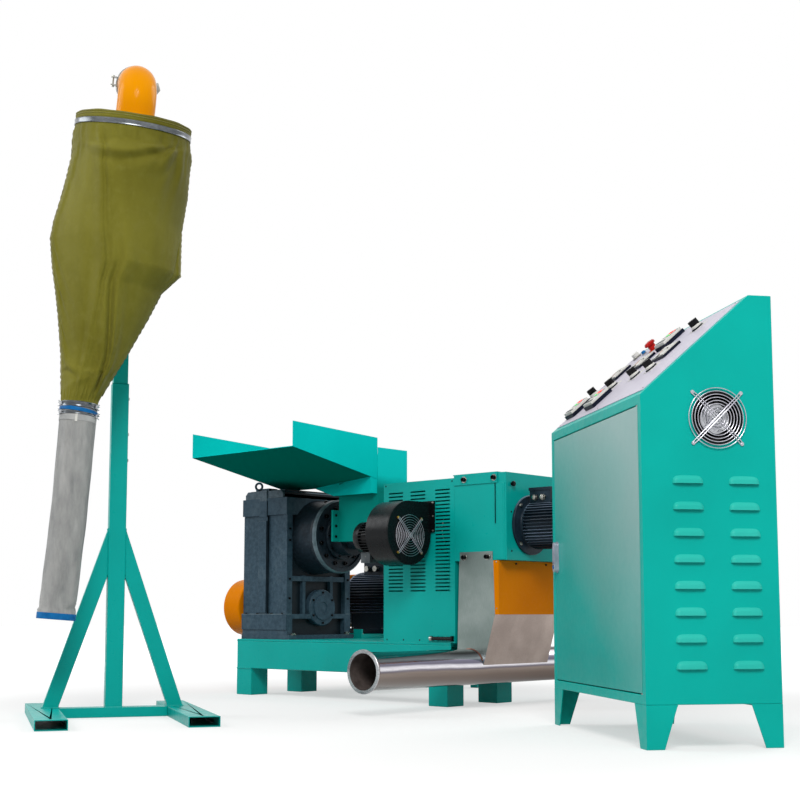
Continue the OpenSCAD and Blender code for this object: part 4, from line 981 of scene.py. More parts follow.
def chute():
    dress("pellet_chute", STAINLESS, 1)
    dress("chute_guard", ORANGE, 1)
    s = Shape()
    for y in (-0.5, 475.5):
        saddle = [(x, y, z) for x, z in arc(PIPE_X, PIPE_Z, PIPE_R + 1, 22, 157, 45)]
        s.tube(saddle, 2.6, 0, ROW, 8, ripple=0.2, ripple_step=2.3)
    for x, z in ((1520, 211), (1673, 201)):
        s.weld((x, 0, z), (x, 475, z), 2.4)
    s.make("chute_welds", "plant", [WELD], slot="stainless")
    heads = Shape()
    for x in (1566, 1698):
        heads.washered(x, 0, 676, 0, 1)
    heads.bolts(facing_front, 1750, 0, (652, 446), 4.5, 0, "screw")
    heads.bolts(along_x, 1763, (125, 350), 646, 5.5, 1, "socket")
    heads.make("chute_screws", "plant", [ZINC, BOLT_BLACK], slot="zinc_steel")


def pipe():
    length, bore, lip, ferrule = 1590, 76.5, 6, 91.5
    at = along_y(PIPE_X, -690, PIPE_Z)
    s = Shape()
    end = [(bore, 0), (ferrule - 1.2, 0), (ferrule, 1.2), (ferrule, lip - 1), (ferrule - 1.5, lip),
           (PIPE_R + 1.5, lip + 7), (PIPE_R, lip + 10)]
    s.lathe(end, 2, at, 96)
    s.lathe([end[-1], (PIPE_R, length - lip - 10)], 0, at, 96)
    s.lathe([(r, length - z) for r, z in reversed(end)], 2, at, 96)
    s.lathe([(bore, 0), (bore, length)], 1, at, 96)
    for z in (lip + 12, length - lip - 12):
        s.ring(PIPE_R + 0.5, 1.4, 3, at @ shift(0, 0, z), 72, 8)
    s.make("pipe_tube", "plant", [PIPE, PIPE_BORE, FERRULE, WELD], slot="stainless",
           replaces=["conveying_pipe"], sharp=28)


# ---- control cabinet

def louvre(s, at):
    """A pressed louvre with round shoulders, open below, z out of the sheet and y up."""
    width, high, deep, sheet = 104, 26, 11, 0.02
    nx, nz = 28, 8
    points = []
    for i in range(nx + 1):
        u = -math.cos(math.pi * i / nx)
        swell = max(0.0, 1 - abs(u) ** 7) ** 0.5
        top = high / 2 - high * 0.85 * (1 - max(0.0, 1 - abs(u) ** 6) ** 0.5)
        for k in range(nz + 1):
            v = k / nz
            rise = math.sin(math.pi / 2 * min(1, v * 1.9)) * (0.72 + 0.28 * v)
            points.append((u * width / 2, top + (-high / 2 - top) * v, sheet + deep * swell * rise))
    s.add(points, grid(nx + 1, nz + 1, looped=False), 0, at)
    # painted shade: a dark sheet across the opening under the lip, in the shape's second material
    low = points[nz::nz + 1]
    lip = low + [(x, y + 0.6, sheet) for x, y, _ in reversed(low)]
    s.add(lip, [tuple(range(len(lip)))], 1, at)
    for x in (-0.46, 0.46):
        s.rod(3.6, 0, 3.2, 0, at @ shift(x * width, -high * 0.36, 0), 12)


def capsule(half, r):
    """The outline of a long round-ended plate."""
    return arc(half, 0, r, -90, 90, 16) + arc(-half, 0, r, 90, 270, 16)


def cabinet():
    dress("cabinet_body", TEAL_HAMMER, 2.5, 3)
    dress("cabinet_feet", TEAL_HAMMER, 1)
    dress("cabinet_door", TEAL_DOOR_PAINTED_SHEEN, 2, 3)
    dress("hinge_pins", ZINC, 0.4)
    s = Shape(CABINET)
    for x, k in product((155, 347), range(8)):
        z = 263 + 84.6 * k
        louvre(s, facing_front(x, 0, z))
        louvre(s, along_y(x, CAB_W, z) @ spin(180, "Z"))
    s.make("cabinet_louvres", "plant", [TEAL_LOUVRE_PAINTED_LIGHT, PAINTED_GAP_SHADE], slot="machine_green", sharp=60)
    b = Shape(CABINET)
    b.box((CAB_D - 0.5, 60, 190), (CAB_D + 2, CAB_W - 60, 1400))
    b.bolts(along_x, CAB_D + 2, (80, CAB_W / 2, CAB_W - 80), (210, 800, 1380), 6, 1, "screw")
    b.make("cabinet_rear_panel", "plant", [TEAL_HAMMER, ZINC], bevel=1, slot="machine_green")
    seal = Shape(CABINET)
    low, high = local_box("cabinet_door", CABINET)
    y0, y1, z0, z1 = low.y - 4, high.y + 4, low.z - 4, high.z + 4
    for a, c in (((21, y0, z0), (27, y0 + 9, z1)), ((21, y1 - 9, z0), (27, y1, z1)),
                 ((21, y0, z0), (27, y1, z0 + 9)), ((21, y0, z1 - 9), (27, y1, z1))):
        seal.box(a, c)
    seal.make("door_seal", "plant", [BLACK_PLASTIC], slot="black_plastic", fuse=False)
    h = Shape(CABINET)
    face = along_x(0, 935, 640) @ spin(180, "Y")
    h.prism(capsule(45, 15), 0, 4, 0, face)
    h.prism(capsule(45, 12.5), 3.5, 17, 0, face)
    h.prism(capsule(27, 7), 16.5, 19.5, 0, face @ shift(10, 0, 0))
    h.rod(7, 16, 20, 1, face @ shift(-38, 0, 0), 24)
    h.rod(9, 16, 18, 2, face @ shift(-38, 0, 0), 24)
    h.make("handle_swing", "door", [HANDLE, BLUE, ZINC], bevel=1.2, segments=3, slot="chrome",
           replaces=["door_handle"])


CONTROLLERS = ((115, 900), (115, 660), (415, 500))
METERS = ((320, 870), (320, 610), (300, 330))
KNOBS = ((205, 900), (205, 690), (205, 450), (205, 290), (415, 250))


def seven(s, at, digit, size, mat):
    """A seven-segment digit, size wide."""
    lit = ("abcdef", "bc", "abged", "abgcd", "fgbc", "afgcd", "afgedc", "abc", "abcdefg", "abcdfg")[digit]
    w, h, t = size, size * 1.8, size * 0.2
    flat = {"a": h, "g": h / 2, "d": 0}
    upright = {"f": (-1, 0.75), "b": (1, 0.75), "e": (-1, 0.25), "c": (1, 0.25)}
    for name in lit:
        if name in flat:
            x, y, dx, dy = 0, flat[name], w / 2 - t / 2, t / 2
        else:
            side, share = upright[name]
            x, y, dx, dy = side * w / 2, h * share, t / 2, h / 4 - t / 2
        s.box((x - dx, y - h / 2 - dy, 0), (x + dx, y - h / 2 + dy, 0.5), mat, at)


def on_console(up, across):
    """A frame on the console plate: x to the viewer's right, y up the slope, z out."""
    return shift(up, across, 3) @ spin(-90, "Z")


def console():
    dress("console_panel", LILAC, 0.6)
    s = Shape(SLOPE)
    for n, (up, across) in enumerate(CONTROLLERS):
        at = on_console(up, across)
        s.box((-48, -48, 0), (48, 48, 14), 11, at)
        s.box((-44, -44, 13), (44, 44, 24), 0, at)
        s.box((-37, -2, 23), (37, 37, 25), 1, at)
        for k, digit in enumerate((1, 8, (5, 6, 2)[n])):
            seven(s, at @ shift(-20 + 20 * k, 25, 25), digit, 9, 2)
        for k, digit in enumerate((1, 8, 0)):
            seven(s, at @ shift(-14 + 14 * k, 6, 25), digit, 5.5, 3)
        for k in range(4):
            s.box((-36 + 19 * k, -36, 23.5), (-23 + 19 * k, -25, 25.5), 4, at)
    for up, across in METERS:
        at = on_console(up, across)
        s.box((-60, -42, 0), (60, 42, 9), 11, at)
        s.box((-54, -36, 8), (54, 36, 13), 0, at)
        s.prism([(-50, -8)] + arc(0, -34, 62, 150, 30, 24) + [(50, -8)], 13, 13.4, 6, at)
        for k in range(21):
            a = 145 - 5.5 * k
            inner = 42 if k % 5 == 0 else 46
            tick = at @ shift(0, -34, 13.4) @ spin(a, "Z")
            s.box((inner, -0.5, 0), (51, 0.5, 0.3), 5, tick)
        needle = at @ shift(0, -34, 14) @ spin(118, "Z")
        s.box((8, -0.6, 0), (50, 0.6, 0.6), 7, needle)
        s.rod(9, 13, 14.6, 5, at @ shift(0, -32, 0), 24)
    for up, across in KNOBS:
        at = on_console(up, across)
        s.box((-34, -24, 0), (34, 30, 1.2), 0, at)
        s.lathe([(0, 0), (23, 0), (23, 5), (21, 6), (0, 6)], 11, at, 40)
        s.lathe([(0, 5.5), (20, 5.5), (20, 11), (17, 13), (17, 14), (0, 14)], 0, at, 40)
        lever = at @ spin(35, "Z")
        grip = [(-17, -6), (-14, -8.5), (14, -8.5), (18, -3), (18, 3), (14, 8.5), (-14, 8.5), (-17, 6)]
        s.prism(grip, 13, 34, 5, lever)
        s.box((5, -0.8, 34), (17, 0.8, 34.5), 0, lever)
    at = on_console(440, 900)  # white button
    s.rod(20, 0, 6, 8, at, 40)
    s.rod(15, 5, 20, 0, at, 40)
    at = on_console(440, 720)  # red mushroom button
    s.lathe([(0, 0), (24, 0), (24, 2), (15, 3), (15, 20), (22, 22), (23, 28), (18, 34), (0, 37)], 7, at, 48)
    s.rod(26, 0, 1.4, 9, at, 40)
    at = on_console(440, 820)  # small blue button
    s.rod(11, 0, 4, 8, at, 32)
    s.lathe([(0, 3), (9, 3), (9, 10), (6, 14), (0, 15)], 10, at, 32)
    s.make("console_instruments", "plant",
           [WHITE, GLASS, RED_LIGHT, GREEN_LIGHT, GREY_BOX, BLACK_PLASTIC, WHITE, RED, ZINC, BRASS, BLUE,
            NAVY],
           bevel=0.8, segments=1, slot="instrument_white", replaces=["panel_instruments", "panel_knobs"])
    fasteners("console_screws", ZINC, "zinc_steel", (shift, (36, 475), (40, 500, 960), 3, 4, "screw"),
              place=SLOPE)


FAN_X, FAN_Z = 260, 1057


def fan_blades(s, at, low, length):
    """Five twisted blades, 1.6 mm thick; low and length are the hub's."""
    nu, nv, thick = 8, 8, 1.6
    across = 2 * (nv + 1)
    for k in range(5):
        points = []
        for i in range(nu + 1):
            rad = 30 + 41 * i / nu
            row = []
            for j in range(nv + 1):
                v = -0.5 + j / nv
                a = v * (0.95 - 0.1 * i / nu) + 0.25 * (i / nu) ** 2 + TAU * k / 5
                lift = low + length / 2 + v * 17 + 2.5 * math.sin(math.pi * (v + 0.5))
                row.append((rad * math.cos(a), rad * math.sin(a), lift))
            points += row + [(x, y, z + thick) for x, y, z in reversed(row)]
        ends = [(e + j, e + j + 1, e + across - j - 2, e + across - j - 1)
                for e in (0, nu * across) for j in range(nv)]
        s.add(points, grid(nu + 1, across) + ends, 0, at)


def cabinet_fan():
    dress("fan_frame", BLACK_PLASTIC, 0.6)
    face = facing_front(FAN_X, 0, FAN_Z)
    g = Shape(CABINET)
    for k in range(8):
        g.ring(26 + k * 10.4, 1.5, 0, face @ shift(0, 0, 6), 72, 8)
    half = [(120, 1.8), (108, 4), (96, 8.4)]
    bar = [(-x, z) for x, z in half] + [(0, 9)] + half[::-1]
    for turn in (45, 135):
        for d in (-4.2, 4.2):
            g.tube([(x, d, z) for x, z in bar], 1.9, 0, face @ spin(turn, "Z"), 8)
        for x in (-118, 118):
            out = face @ spin(turn, "Z") @ shift(x, 0, 3.4)
            g.rod(6.5, -3.4, 0.6, 0, out, 20)
            g.bolt(out, 4.5, 0, "screw")
    g.make("fan_wire_guard", "plant", [GUARD], slot="chrome", replaces=["fan_guard"])
    rim = Shape(CABINET)
    rim.lathe([(80, 0), (86, 0), (88, 1.5), (88, 2.4), (82, 3), (80, 2)], 0, face, 72, closed=True)
    rim.make("fan_rim", "plant", [BLACK_PLASTIC], slot="black_plastic")
    r = Shape(CABINET)
    hub = along_y(FAN_X, 3, FAN_Z)
    low, length = 17.7, 24
    back = low + length
    boss = [(4.2, back), (31, back), (32, back - 1), (32, low + 3), (29, low), (0, low)]
    r.lathe(boss, 0, hub, 48)
    cap = [(0, -2.2), (14, -2.2), (16, -1.4), (26, -1.4), (28, -2.4), (40, -2.4), (42, -1.2), (50, -1.2),
           (50, 0.4), (29, 0.4)]
    r.lathe([(rad, low + z) for rad, z in cap], 1, hub, 60)
    for k in range(20):
        r.box((29, -0.9, low - 3.2), (39, 0.9, low - 2.2), 1, hub @ spin(18 * k, "Z"))
    fan_blades(r, hub, low, length)
    r.make("fan_blades", "rotor", [BLACK_PLASTIC, CHROME], slot="black_plastic", replaces=["fan_rotor"])


# ---- bag stand

def stand():
    dress("stand_feet stand_cross_beam", TEAL, 3.5, 3)
    dress("stand_braces stand_outer_post stand_inner_post", TEAL, 4, 3)
    dress("bag_arm", TEAL, 3)
    dress("bag_top_plate", HOLE_EDGE, 1)
    s = Shape(STAND)
    for side in (-1, 1):
        s.weld((side * 220, -40, 41), (side * 220, 40, 41), 3.5)
        s.weld((side * 222, -20, 41), (side * 286, -20, 41), 3.5)
        s.weld((side * 286, -20, 41), (side * 286, 20, 41), 3.5)
        s.weld((side * 36, -20, 582), (side * 36, -20, 778), 3)
        s.weld((side * 36, 20, 582), (side * 36, 20, 778), 3)
    s.weld((-35, -36, 41), (35, -36, 41), 3.5)
    s.make("stand_welds", "plant", [TEAL], slot="machine_green")
    b = Shape(STAND)
    for z in (1068, 1178, 1330):
        b.rod(5, 0, 6, 0, along_x(35, 0, z), 20)
        b.bolt(along_x(35, 0, z), 7, 0)
    b.make("post_screws", "plant", [ZINC], slot="zinc_steel")


ELBOW_R = 78.5


def elbow():
    leg, bend, mouth, base, wall, sides = 82, 100, 44, 6, 3, 72
    top = base + leg + bend
    # the centre line: y, z and the angle it has turned through
    line = [(0, base + leg * k / 4, 0) for k in range(5)]
    line += [(bend * (1 - math.cos(a)), base + leg + bend * math.sin(a), a) for a in turns(96)[1:25]]
    line += [(bend + mouth * k, top, math.pi / 2) for k in (0.5, 1)]
    outside, inside = [(*p, ELBOW_R) for p in line], [(*p, ELBOW_R - wall) for p in reversed(line)]
    points = []
    for y, z, a, r in outside + inside:
        turn = shift(0, y, z) @ spin(-math.degrees(a), "X")
        points += [turn @ Vector(p) for p in circle(r, 0, sides)]
    s = Shape(RING)
    s.add(points, grid(2 * len(line), sides, closed=True))
    s.lathe([(ELBOW_R, 0), (ELBOW_R + 5, 0.5), (ELBOW_R + 4, 3.5), (ELBOW_R, 6)], 0, shift(0, 0, base), 72)
    s.make("elbow_pipe", "mast", [ORANGE_ELBOW], slot="orange_paint", replaces=["inlet_elbow"])
    c = Shape(RING)
    w = 22
    at = along_y(0, bend + 14, top)
    r = ELBOW_R + 0.4
    band = [(0, 0), (3.6, 0), (4.8, 2.5), (3.6, 6), (3.6, w - 6), (4.8, w - 2.5), (3.6, w), (0, w)]
    c.lathe([(r + out, z) for out, z in band], 0, at, 96, closed=True)
    c.prism([(r - 4, -26), (r + 9, -30), (r + 21, 0), (r + 8, 20), (r - 4, 16)], 1, w - 1, 0, at)
    lug = shift(-r - 6, bend + 14, top)
    for z in (-12, 20):
        c.box((-19, 1, z), (4, w - 1, z + 5), 0, lug)
    screw = lug @ shift(-11, w / 2, 0)
    c.rod(4, -16, 30, 1, screw, 20)
    c.bolt(screw @ shift(0, 0, 25), 6, 1)
    c.rod(6.5, -18, -12, 1, screw, 6)
    c.make("elbow_clamp_ring", "mast", [ZINC, ZINC], bevel=0.6, segments=1, slot="zinc_steel",
           replaces=["elbow_clamp"])


# ---- cloth: bag and outlet sleeve

NECK_R, SLEEVE_L = 72, 866
SEAT = 0.3
RIM_R = 233
BAG = STAND @ shift(0, -BAG_REACH, RING_Z - SEAT)  # the bag hangs below its origin
BAG_H = RING_Z - NECK_Z - 2 * SEAT

# share of the height, left and right reach, half depth, how far the two panels come to an edge at the seams
BAG_STATIONS = [
    (0, -RIM_R, RIM_R, RIM_R, 0), (0.034, -RIM_R, RIM_R, RIM_R, 0),
    (0.12, -RIM_R - 8, RIM_R - 1, RIM_R + 2, 0.2), (0.25, -RIM_R - 38, RIM_R - 12, RIM_R - 2, 0.5),
    (0.37, -RIM_R - 73, RIM_R - 32, RIM_R - 8, 0.7), (0.43, -RIM_R - 84, RIM_R - 33, RIM_R - 14, 0.8),
    (0.534, -RIM_R - 73, RIM_R - 34, RIM_R - 30, 0.85),
    (0.60, -NECK_RUN - NECK_R - 34, -NECK_RUN + 313, NECK_R + 100, 0.8),
    (0.70, -NECK_RUN - NECK_R - 19, -NECK_RUN + 258, NECK_R + 74, 0.7),
    (0.84, -NECK_RUN - NECK_R - 4, -NECK_RUN + 174, NECK_R + 38, 0.55),
    (0.95, -NECK_RUN - NECK_R, -NECK_RUN + 102, NECK_R + 12, 0.3),
    (1, -NECK_RUN - NECK_R, -NECK_RUN + NECK_R, NECK_R, 0)]


def smooth(low, high, x):
    """0 below low, 1 above high, and an even curve between them."""
    t = min(1.0, max(0.0, (x - low) / (high - low)))
    return t * t * (3 - 2 * t)


def station(share):
    """The bag's reach, depth and edge at a share of its height, between the two stations around it."""
    for a, b in zip(BAG_STATIONS, BAG_STATIONS[1:]):
        if share <= b[0]:
            t = (share - a[0]) / (b[0] - a[0])
            return [p + (q - p) * t for p, q in zip(a[1:], b[1:])]
    return list(BAG_STATIONS[-1][1:])


def hill(x, middle, width):
    """1 at the middle, falling to 0 over about two widths."""
    return math.exp(-((x - middle) / width) ** 2)


def fold_depth(across, share):
    """How far the front panel stands out, in millimetres; across runs from -1 at the left seam to 1."""
    down = smooth(0.06, 0.2, share) * (1 - smooth(0.93, 1.0, share))
    # the narrow crease at the left
    line = -0.62 + 0.42 * smooth(0, 0.45, share)
    out = -13 * hill(across, line, 0.04) * down
    out += 9 * hill(across, line - 0.11, 0.1) * down
    # the broad valley that deepens towards the neck, and the panel that folds over it
    run = 0.08 + 0.62 * smooth(0.5, 1.0, share) ** 1.6
    deep = 12 + 38 * smooth(0.3, 0.86, share)
    out -= deep * hill(across, run, 0.10 + 0.05 * (1 - share)) * smooth(0.25, 0.5, share) * down
    out += 0.55 * deep * hill(across, run - 0.26, 0.15) * smooth(0.3, 0.6, share) * down
    # ripples that run on down to the neck
    out += 4 * math.cos(7 * across + 1.1) * smooth(0.3, 0.7, share) * down
    # drape under the band: a swag from the left corner, a hollow under its middle, a pucker at the right
    swag = 0.075 + 0.075 * (1 - (across + 0.25) ** 2)
    out += 19 * hill(share, swag, 0.024) * smooth(-1, -0.6, across) * (1 - smooth(0.25, 0.6, across))
    out -= 16 * hill(share, swag + 0.055, 0.035) * hill(across, 0.3, 0.4)
    lean = across - 0.62 + 2.4 * (share - 0.12)
    out -= 24 * hill(lean, 0, 0.07) * hill(share, 0.13, 0.06)
    out += 18 * hill(lean, 0.18, 0.08) * hill(share, 0.14, 0.075)
    # the panel at the right falls back in one long slope
    out -= 10 * smooth(0.35, 0.8, across) * smooth(0.2, 0.5, share) * down
    return out


def creases(across, share):
    """Sharp folds pressed into the settled cloth, in millimetres outwards; across runs from -1 to 1."""
    down = smooth(0.05, 0.1, share) * (1 - smooth(0.78, 0.92, share))
    # the long crease at the left: a flat panel that steps down to the next one
    line = -0.60 + 0.36 * smooth(0, 0.5, share) + 0.12 * smooth(0.5, 0.8, share)
    off = across - line
    out = -9 * hill(off, 0, 0.022) * down * (1 - 0.6 * smooth(0.45, 0.75, share))
    out += 5 * hill(off, -0.075, 0.07) * down
    # the swag that hangs from the left corner under the band
    hang = 0.072 + 0.085 * (1 - ((across + 0.2) / 0.85) ** 2)
    ends = smooth(-0.98, -0.75, across) * (1 - smooth(0.1, 0.4, across))
    out += 8 * hill(share, hang, 0.010) * ends - 6 * hill(share, hang + 0.026, 0.014) * ends
    # the gathered hollow at the right: a dark three-cornered dent and the ridge beside it
    cut = across - 0.50 - 3.4 * (0.135 - share)
    out -= 15 * hill(cut, 0, 0.05) * hill(share, 0.115, 0.032)
    out += 10 * hill(cut, 0.15, 0.05) * hill(share, 0.14, 0.05)
    out -= 9 * hill(share, 0.152 + 0.03 * (across - 0.3), 0.010) * hill(across, 0.28, 0.2)
    rib = across - 0.80 + 0.5 * (share - 0.14)
    out += 9 * hill(rib, 0, 0.03) * hill(share, 0.17, 0.07)
    out -= 7 * hill(rib, -0.08, 0.035) * hill(share, 0.16, 0.06)
    # the valley that runs down to the neck, and the pucker at the neck's left
    run = 0.10 + 0.60 * smooth(0.5, 1.0, share) ** 1.5
    valley = (4 + 15 * smooth(0.5, 0.85, share)) * smooth(0.33, 0.5, share) * (1 - smooth(0.94, 0.99, share))
    out -= valley * hill(across, run, 0.055)
    tuck = share - 0.93 + 0.035 * across
    out += 6 * hill(tuck, 0, 0.008) * (1 - smooth(-0.2, 0.3, across)) * smooth(-1, -0.8, across)
    # a sewn patch edge, level across the right panel
    out -= 1.6 * hill(share, 0.375, 0.0035) * smooth(0.62, 0.72, across)
    return out


def bag_point(angle, share):
    """A point of the bag's shell in the BAG frame, its folds included."""
    left, right, depth, edge = station(share)
    across, side = math.cos(angle), math.sin(angle)
    x = (left + right) / 2 + (right - left) / 2 * across
    y = depth * math.copysign(abs(side) ** (1 + edge), side)
    front = side < 0
    fold = fold_depth(across, share) if front else 0.7 * fold_depth(-0.85 * across, share)
    y += math.copysign(fold * min(1.0, 1.5 * abs(side)), side)
    gather = 1.6 * math.sin(30 * angle) + 1.2 * math.sin(47 * angle + 1)
    gather *= hill(share, 0.045, 0.022) + 1.3 * hill(share, 1.0, 0.03)
    follow = 1 - smooth(0.034, 0.14, share)
    turn = spin(RING_TILT * follow, "Y") @ spin(RING_LEAN * follow, "X")
    return turn @ Vector((x + gather * across, y + gather * side, -share * BAG_H))


# the rolled hem over the band: distance from the rim's radius, height over the top plate's plane
HEM = ((-6.5, 8), (-6.6, 15), (-5.6, 19.5), (-3.4, 21), (-1.0, 20), (0.2, 17.6), (0.3, 14), (-1.9, 11.8),
       (0.5, 9.6), (0.7, 5.4), (-1.7, 3), (0.6, 1), (0.4, -4), (-1.0, -8), (-0.9, -14), (-0.9, -26),
       (-0.9, -33))
COLUMNS, ROWS = 176, 96
FIRST_SHARE = 0.036  # of the bag's height, just under the hem
SHARES = [FIRST_SHARE + 0.964 * k / (ROWS - 1) for k in range(ROWS)]
NECK_ROWS = ((-4, 0.2), (-14, -0.6))  # height, and distance from the neck's radius


def under_arm(angle):
    """Whether an angle round the rim is in the gap that the arm passes over."""
    return math.sin(angle) > 0 and abs(math.cos(angle)) < 0.3


def bag_rows():
    """The bag's points row by row in metres, and how firmly each row is held."""
    angles = turns(COLUMNS)
    rows, held = [], []
    for out, height in HEM:
        row = []
        for a in angles:
            x, y = (RIM_R + out) * math.cos(a), (RIM_R + out) * math.sin(a)
            rise = 0.12 + 0.88 * smooth(34, 66, abs(x)) if y > 0 and height > 0 else 1.0
            wave = 1.1 * math.sin(5 * a + 0.6) + 0.7 * math.sin(13 * a) if height > 0 else 0
            row.append(RING @ Vector((x, y, height * rise + wave * rise)))
        rows.append(row)
        held.append(1.0)
    for share in SHARES:
        rows.append([BAG @ bag_point(a, share) for a in angles])
        held.append(max(1 - smooth(FIRST_SHARE, 0.07, share), smooth(0.86, 0.98, share), 0.04))
    for height, out in NECK_ROWS:
        rows.append([SLEEVE @ Vector(p) for p in circle(NECK_R + out, height, COLUMNS)])
        held.append(1.0)
    return [[p * MM for p in row] for row in rows], held


def settle(piece, held, frames, spare, reach):
    """Lets a cloth settle under its weight, then fixes its shape.

    held is how firmly each vertex stays, and spare the share by which the cut is larger than the shape.
    No point ends further than reach, in metres, from its start."""
    group = piece.vertex_groups.new(name="held")
    for i, firm in enumerate(held):
        group.add([i], firm, "REPLACE")
    cloth = piece.modifiers.new("cloth", "CLOTH")
    values = dict(quality=6, mass=0.25, air_damping=2, tension_stiffness=18, compression_stiffness=18,
                  shear_stiffness=6, bending_stiffness=0.35, shrink_min=-spare, vertex_group_mass="held",
                  pin_stiffness=0.6)
    for name, value in values.items():
        setattr(cloth.settings, name, value)
    cloth.point_cache.frame_start = 1
    cloth.point_cache.frame_end = frames
    scene = bpy.context.scene
    for step in range(1, frames + 1):
        scene.frame_set(step)
    settled = piece.evaluated_get(bpy.context.evaluated_depsgraph_get()).data
    after = np.empty(3 * len(settled.vertices))
    settled.vertices.foreach_get("co", after)
    before = np.array([v.co for v in piece.data.vertices], float)
    move = after.reshape(-1, 3) - before
    length = np.linalg.norm(move, axis=1)
    limit = reach * (1 - np.array(held))
    move *= np.minimum(1, limit / np.maximum(length, 1e-9))[:, None]
    piece.modifiers.remove(cloth)
    piece.vertex_groups.remove(group)
    piece.data.vertices.foreach_set("co", (before + move).ravel())
    scene.frame_set(1)


def press_creases(cloth):
    """Presses the sharp folds into the settled bag, and fills out its upper right corner."""
    turn = BAG.to_3x3()
    front, right = -(turn @ Vector((0, 1, 0))), turn @ Vector((1, 0, 0))
    for k, share in enumerate(SHARES):
        for i, a in enumerate(turns(COLUMNS)):
            across, side = math.cos(a), math.sin(a)
            fold = creases(across, share) if side < 0 else -0.7 * creases(-0.9 * across, share)
            corner = 0.009 * hill(share, 0.085, 0.03) * smooth(0.8, 1, across)
            point = cloth.data.vertices[(len(HEM) + k) * COLUMNS + i]
            point.co += front * (fold * min(1.0, 2.2 * abs(side)) * MM)
            point.co += right * corner


def stitches(s, line):
    """Sewing thread along a line of points."""
    step, length, r = 7.0, 4.2, 0.75
    walked, mark = 0.0, 0.0
    for a, b in zip(line, line[1:]):
        way, span = (b - a).normalized(), (b - a).length
        while mark < walked + span:
            start = a + way * (mark - walked)
            s.tube([start + way * (length * part) for part in (0, 0.2, 0.8, 1)], r, sides=5)
            mark += step
        walked += span


def sew(cloth, last):
    """Piping and threads down the bag's two side seams, to the row last, and stitches round its hem."""
    settled = [v.co * 1000 for v in cloth.data.vertices]
    rows = [settled[k * COLUMNS:(k + 1) * COLUMNS] for k in range(len(HEM) + 1, last)]
    middles = [sum(row, Vector()) / COLUMNS for row in rows]

    def line(column, lift):
        """A column of the cloth's points, lifted off it."""
        picked = [row[column % COLUMNS] for row in rows]
        return [p + (p - m).normalized() * lift for p, m in zip(picked, middles)]

    piping, thread = Shape(ROW), Shape(ROW)
    for column in (0, COLUMNS // 2):
        piping.tube(line(column, 1.2), 2.6, sides=10)
        for way in (-2, 2):
            thread.tube(line(column + way, 0.6), 1.5, sides=8)
    for height in (16, 7.4):
        hem = zip(turns(180) + [TAU], circle(RIM_R + 0.6, height, 180) + [(RIM_R + 0.6, 0, height)])
        stitches(thread, [RING @ Vector(p) for a, p in hem if not under_arm(a)])
    return [piping.make("bag_seam_piping", "mast", [PIPING], slot="canvas", sharp=180),
            thread.make("bag_stitching", "mast", [THREAD], slot="canvas", fuse=False, sharp=180)]


def hem_lining():
    """The dark red lining inside the hem, left out under the arm."""
    steps = 120
    strip = [(-7.4, 20), (-8.2, 15), (-8, 7), (-7.2, 7), (-6.9, 15), (-6.4, 19.4)]
    inside = Shape(RING)
    faces = grid(len(strip), steps, closed=True)
    faces = [face for m, face in enumerate(faces) if not under_arm(TAU * (m % steps) / steps)]
    inside.add([p for out, z in strip for p in circle(RIM_R + out, z, steps)], faces)
    return inside.make("bag_hem_lining", "mast", [RIM], slot="canvas", sharp=60)


def bag():
    rows, held = bag_rows()
    s = Shape(ROW)
    s.add([p * 1000 for row in rows for p in row], grid(len(rows), COLUMNS))
    cloth = s.make("bag_cloth", "mast", [CANVAS], sharp=180, slot="canvas", replaces=["filter_bag"],
                   fuse=False)
    seam = [0.75 * max(hill(math.cos(a), 1, 0.05), hill(math.cos(a), -1, 0.05)) for a in turns(COLUMNS)]
    settle(cloth, [max(firm, s) for firm in held for s in seam], 18, 0.02, 0.009)
    press_creases(cloth)
    finer = cloth.modifiers.new("smooth", "SUBSURF")
    finer.levels = finer.render_levels = 1
    sewn = sew(cloth, len(rows) - 4)
    hem_lining()


def bag_hoop():
    """The steel band over the bag's rim, closed by a T-bolt at the back."""
    s = Shape(RING)
    r, low, high = RIM_R + SEAT, -30, -9
    s.lathe([(r, low), (r + 2.2, low), (r + 3, low + 1.6), (r + 2.2, low + 4), (r + 2.0, low + 6),
             (r + 2.0, high - 6), (r + 2.2, high - 4), (r + 3, high - 1.6), (r + 2.2, high), (r, high)],
            0, ROW, 160, closed=True)
    at = spin(118, "Z") @ shift(r + 2, 0, 0)
    for y in (-26, 14):
        s.box((-1, y, -29), (15, y + 12, -11), 0, at)
    s.rod(4, -38, 44, 1, at @ shift(8, 0, -20) @ spin(-90, "X"), 20)
    s.bolt(at @ shift(8, 26, -20) @ spin(-90, "X"), 7, 1)
    s.make("bag_hoop", "mast", [BAND, ZINC], bevel=0.6, segments=1, slot="zinc_steel", replaces=["bag_band"],
           fuse=False)


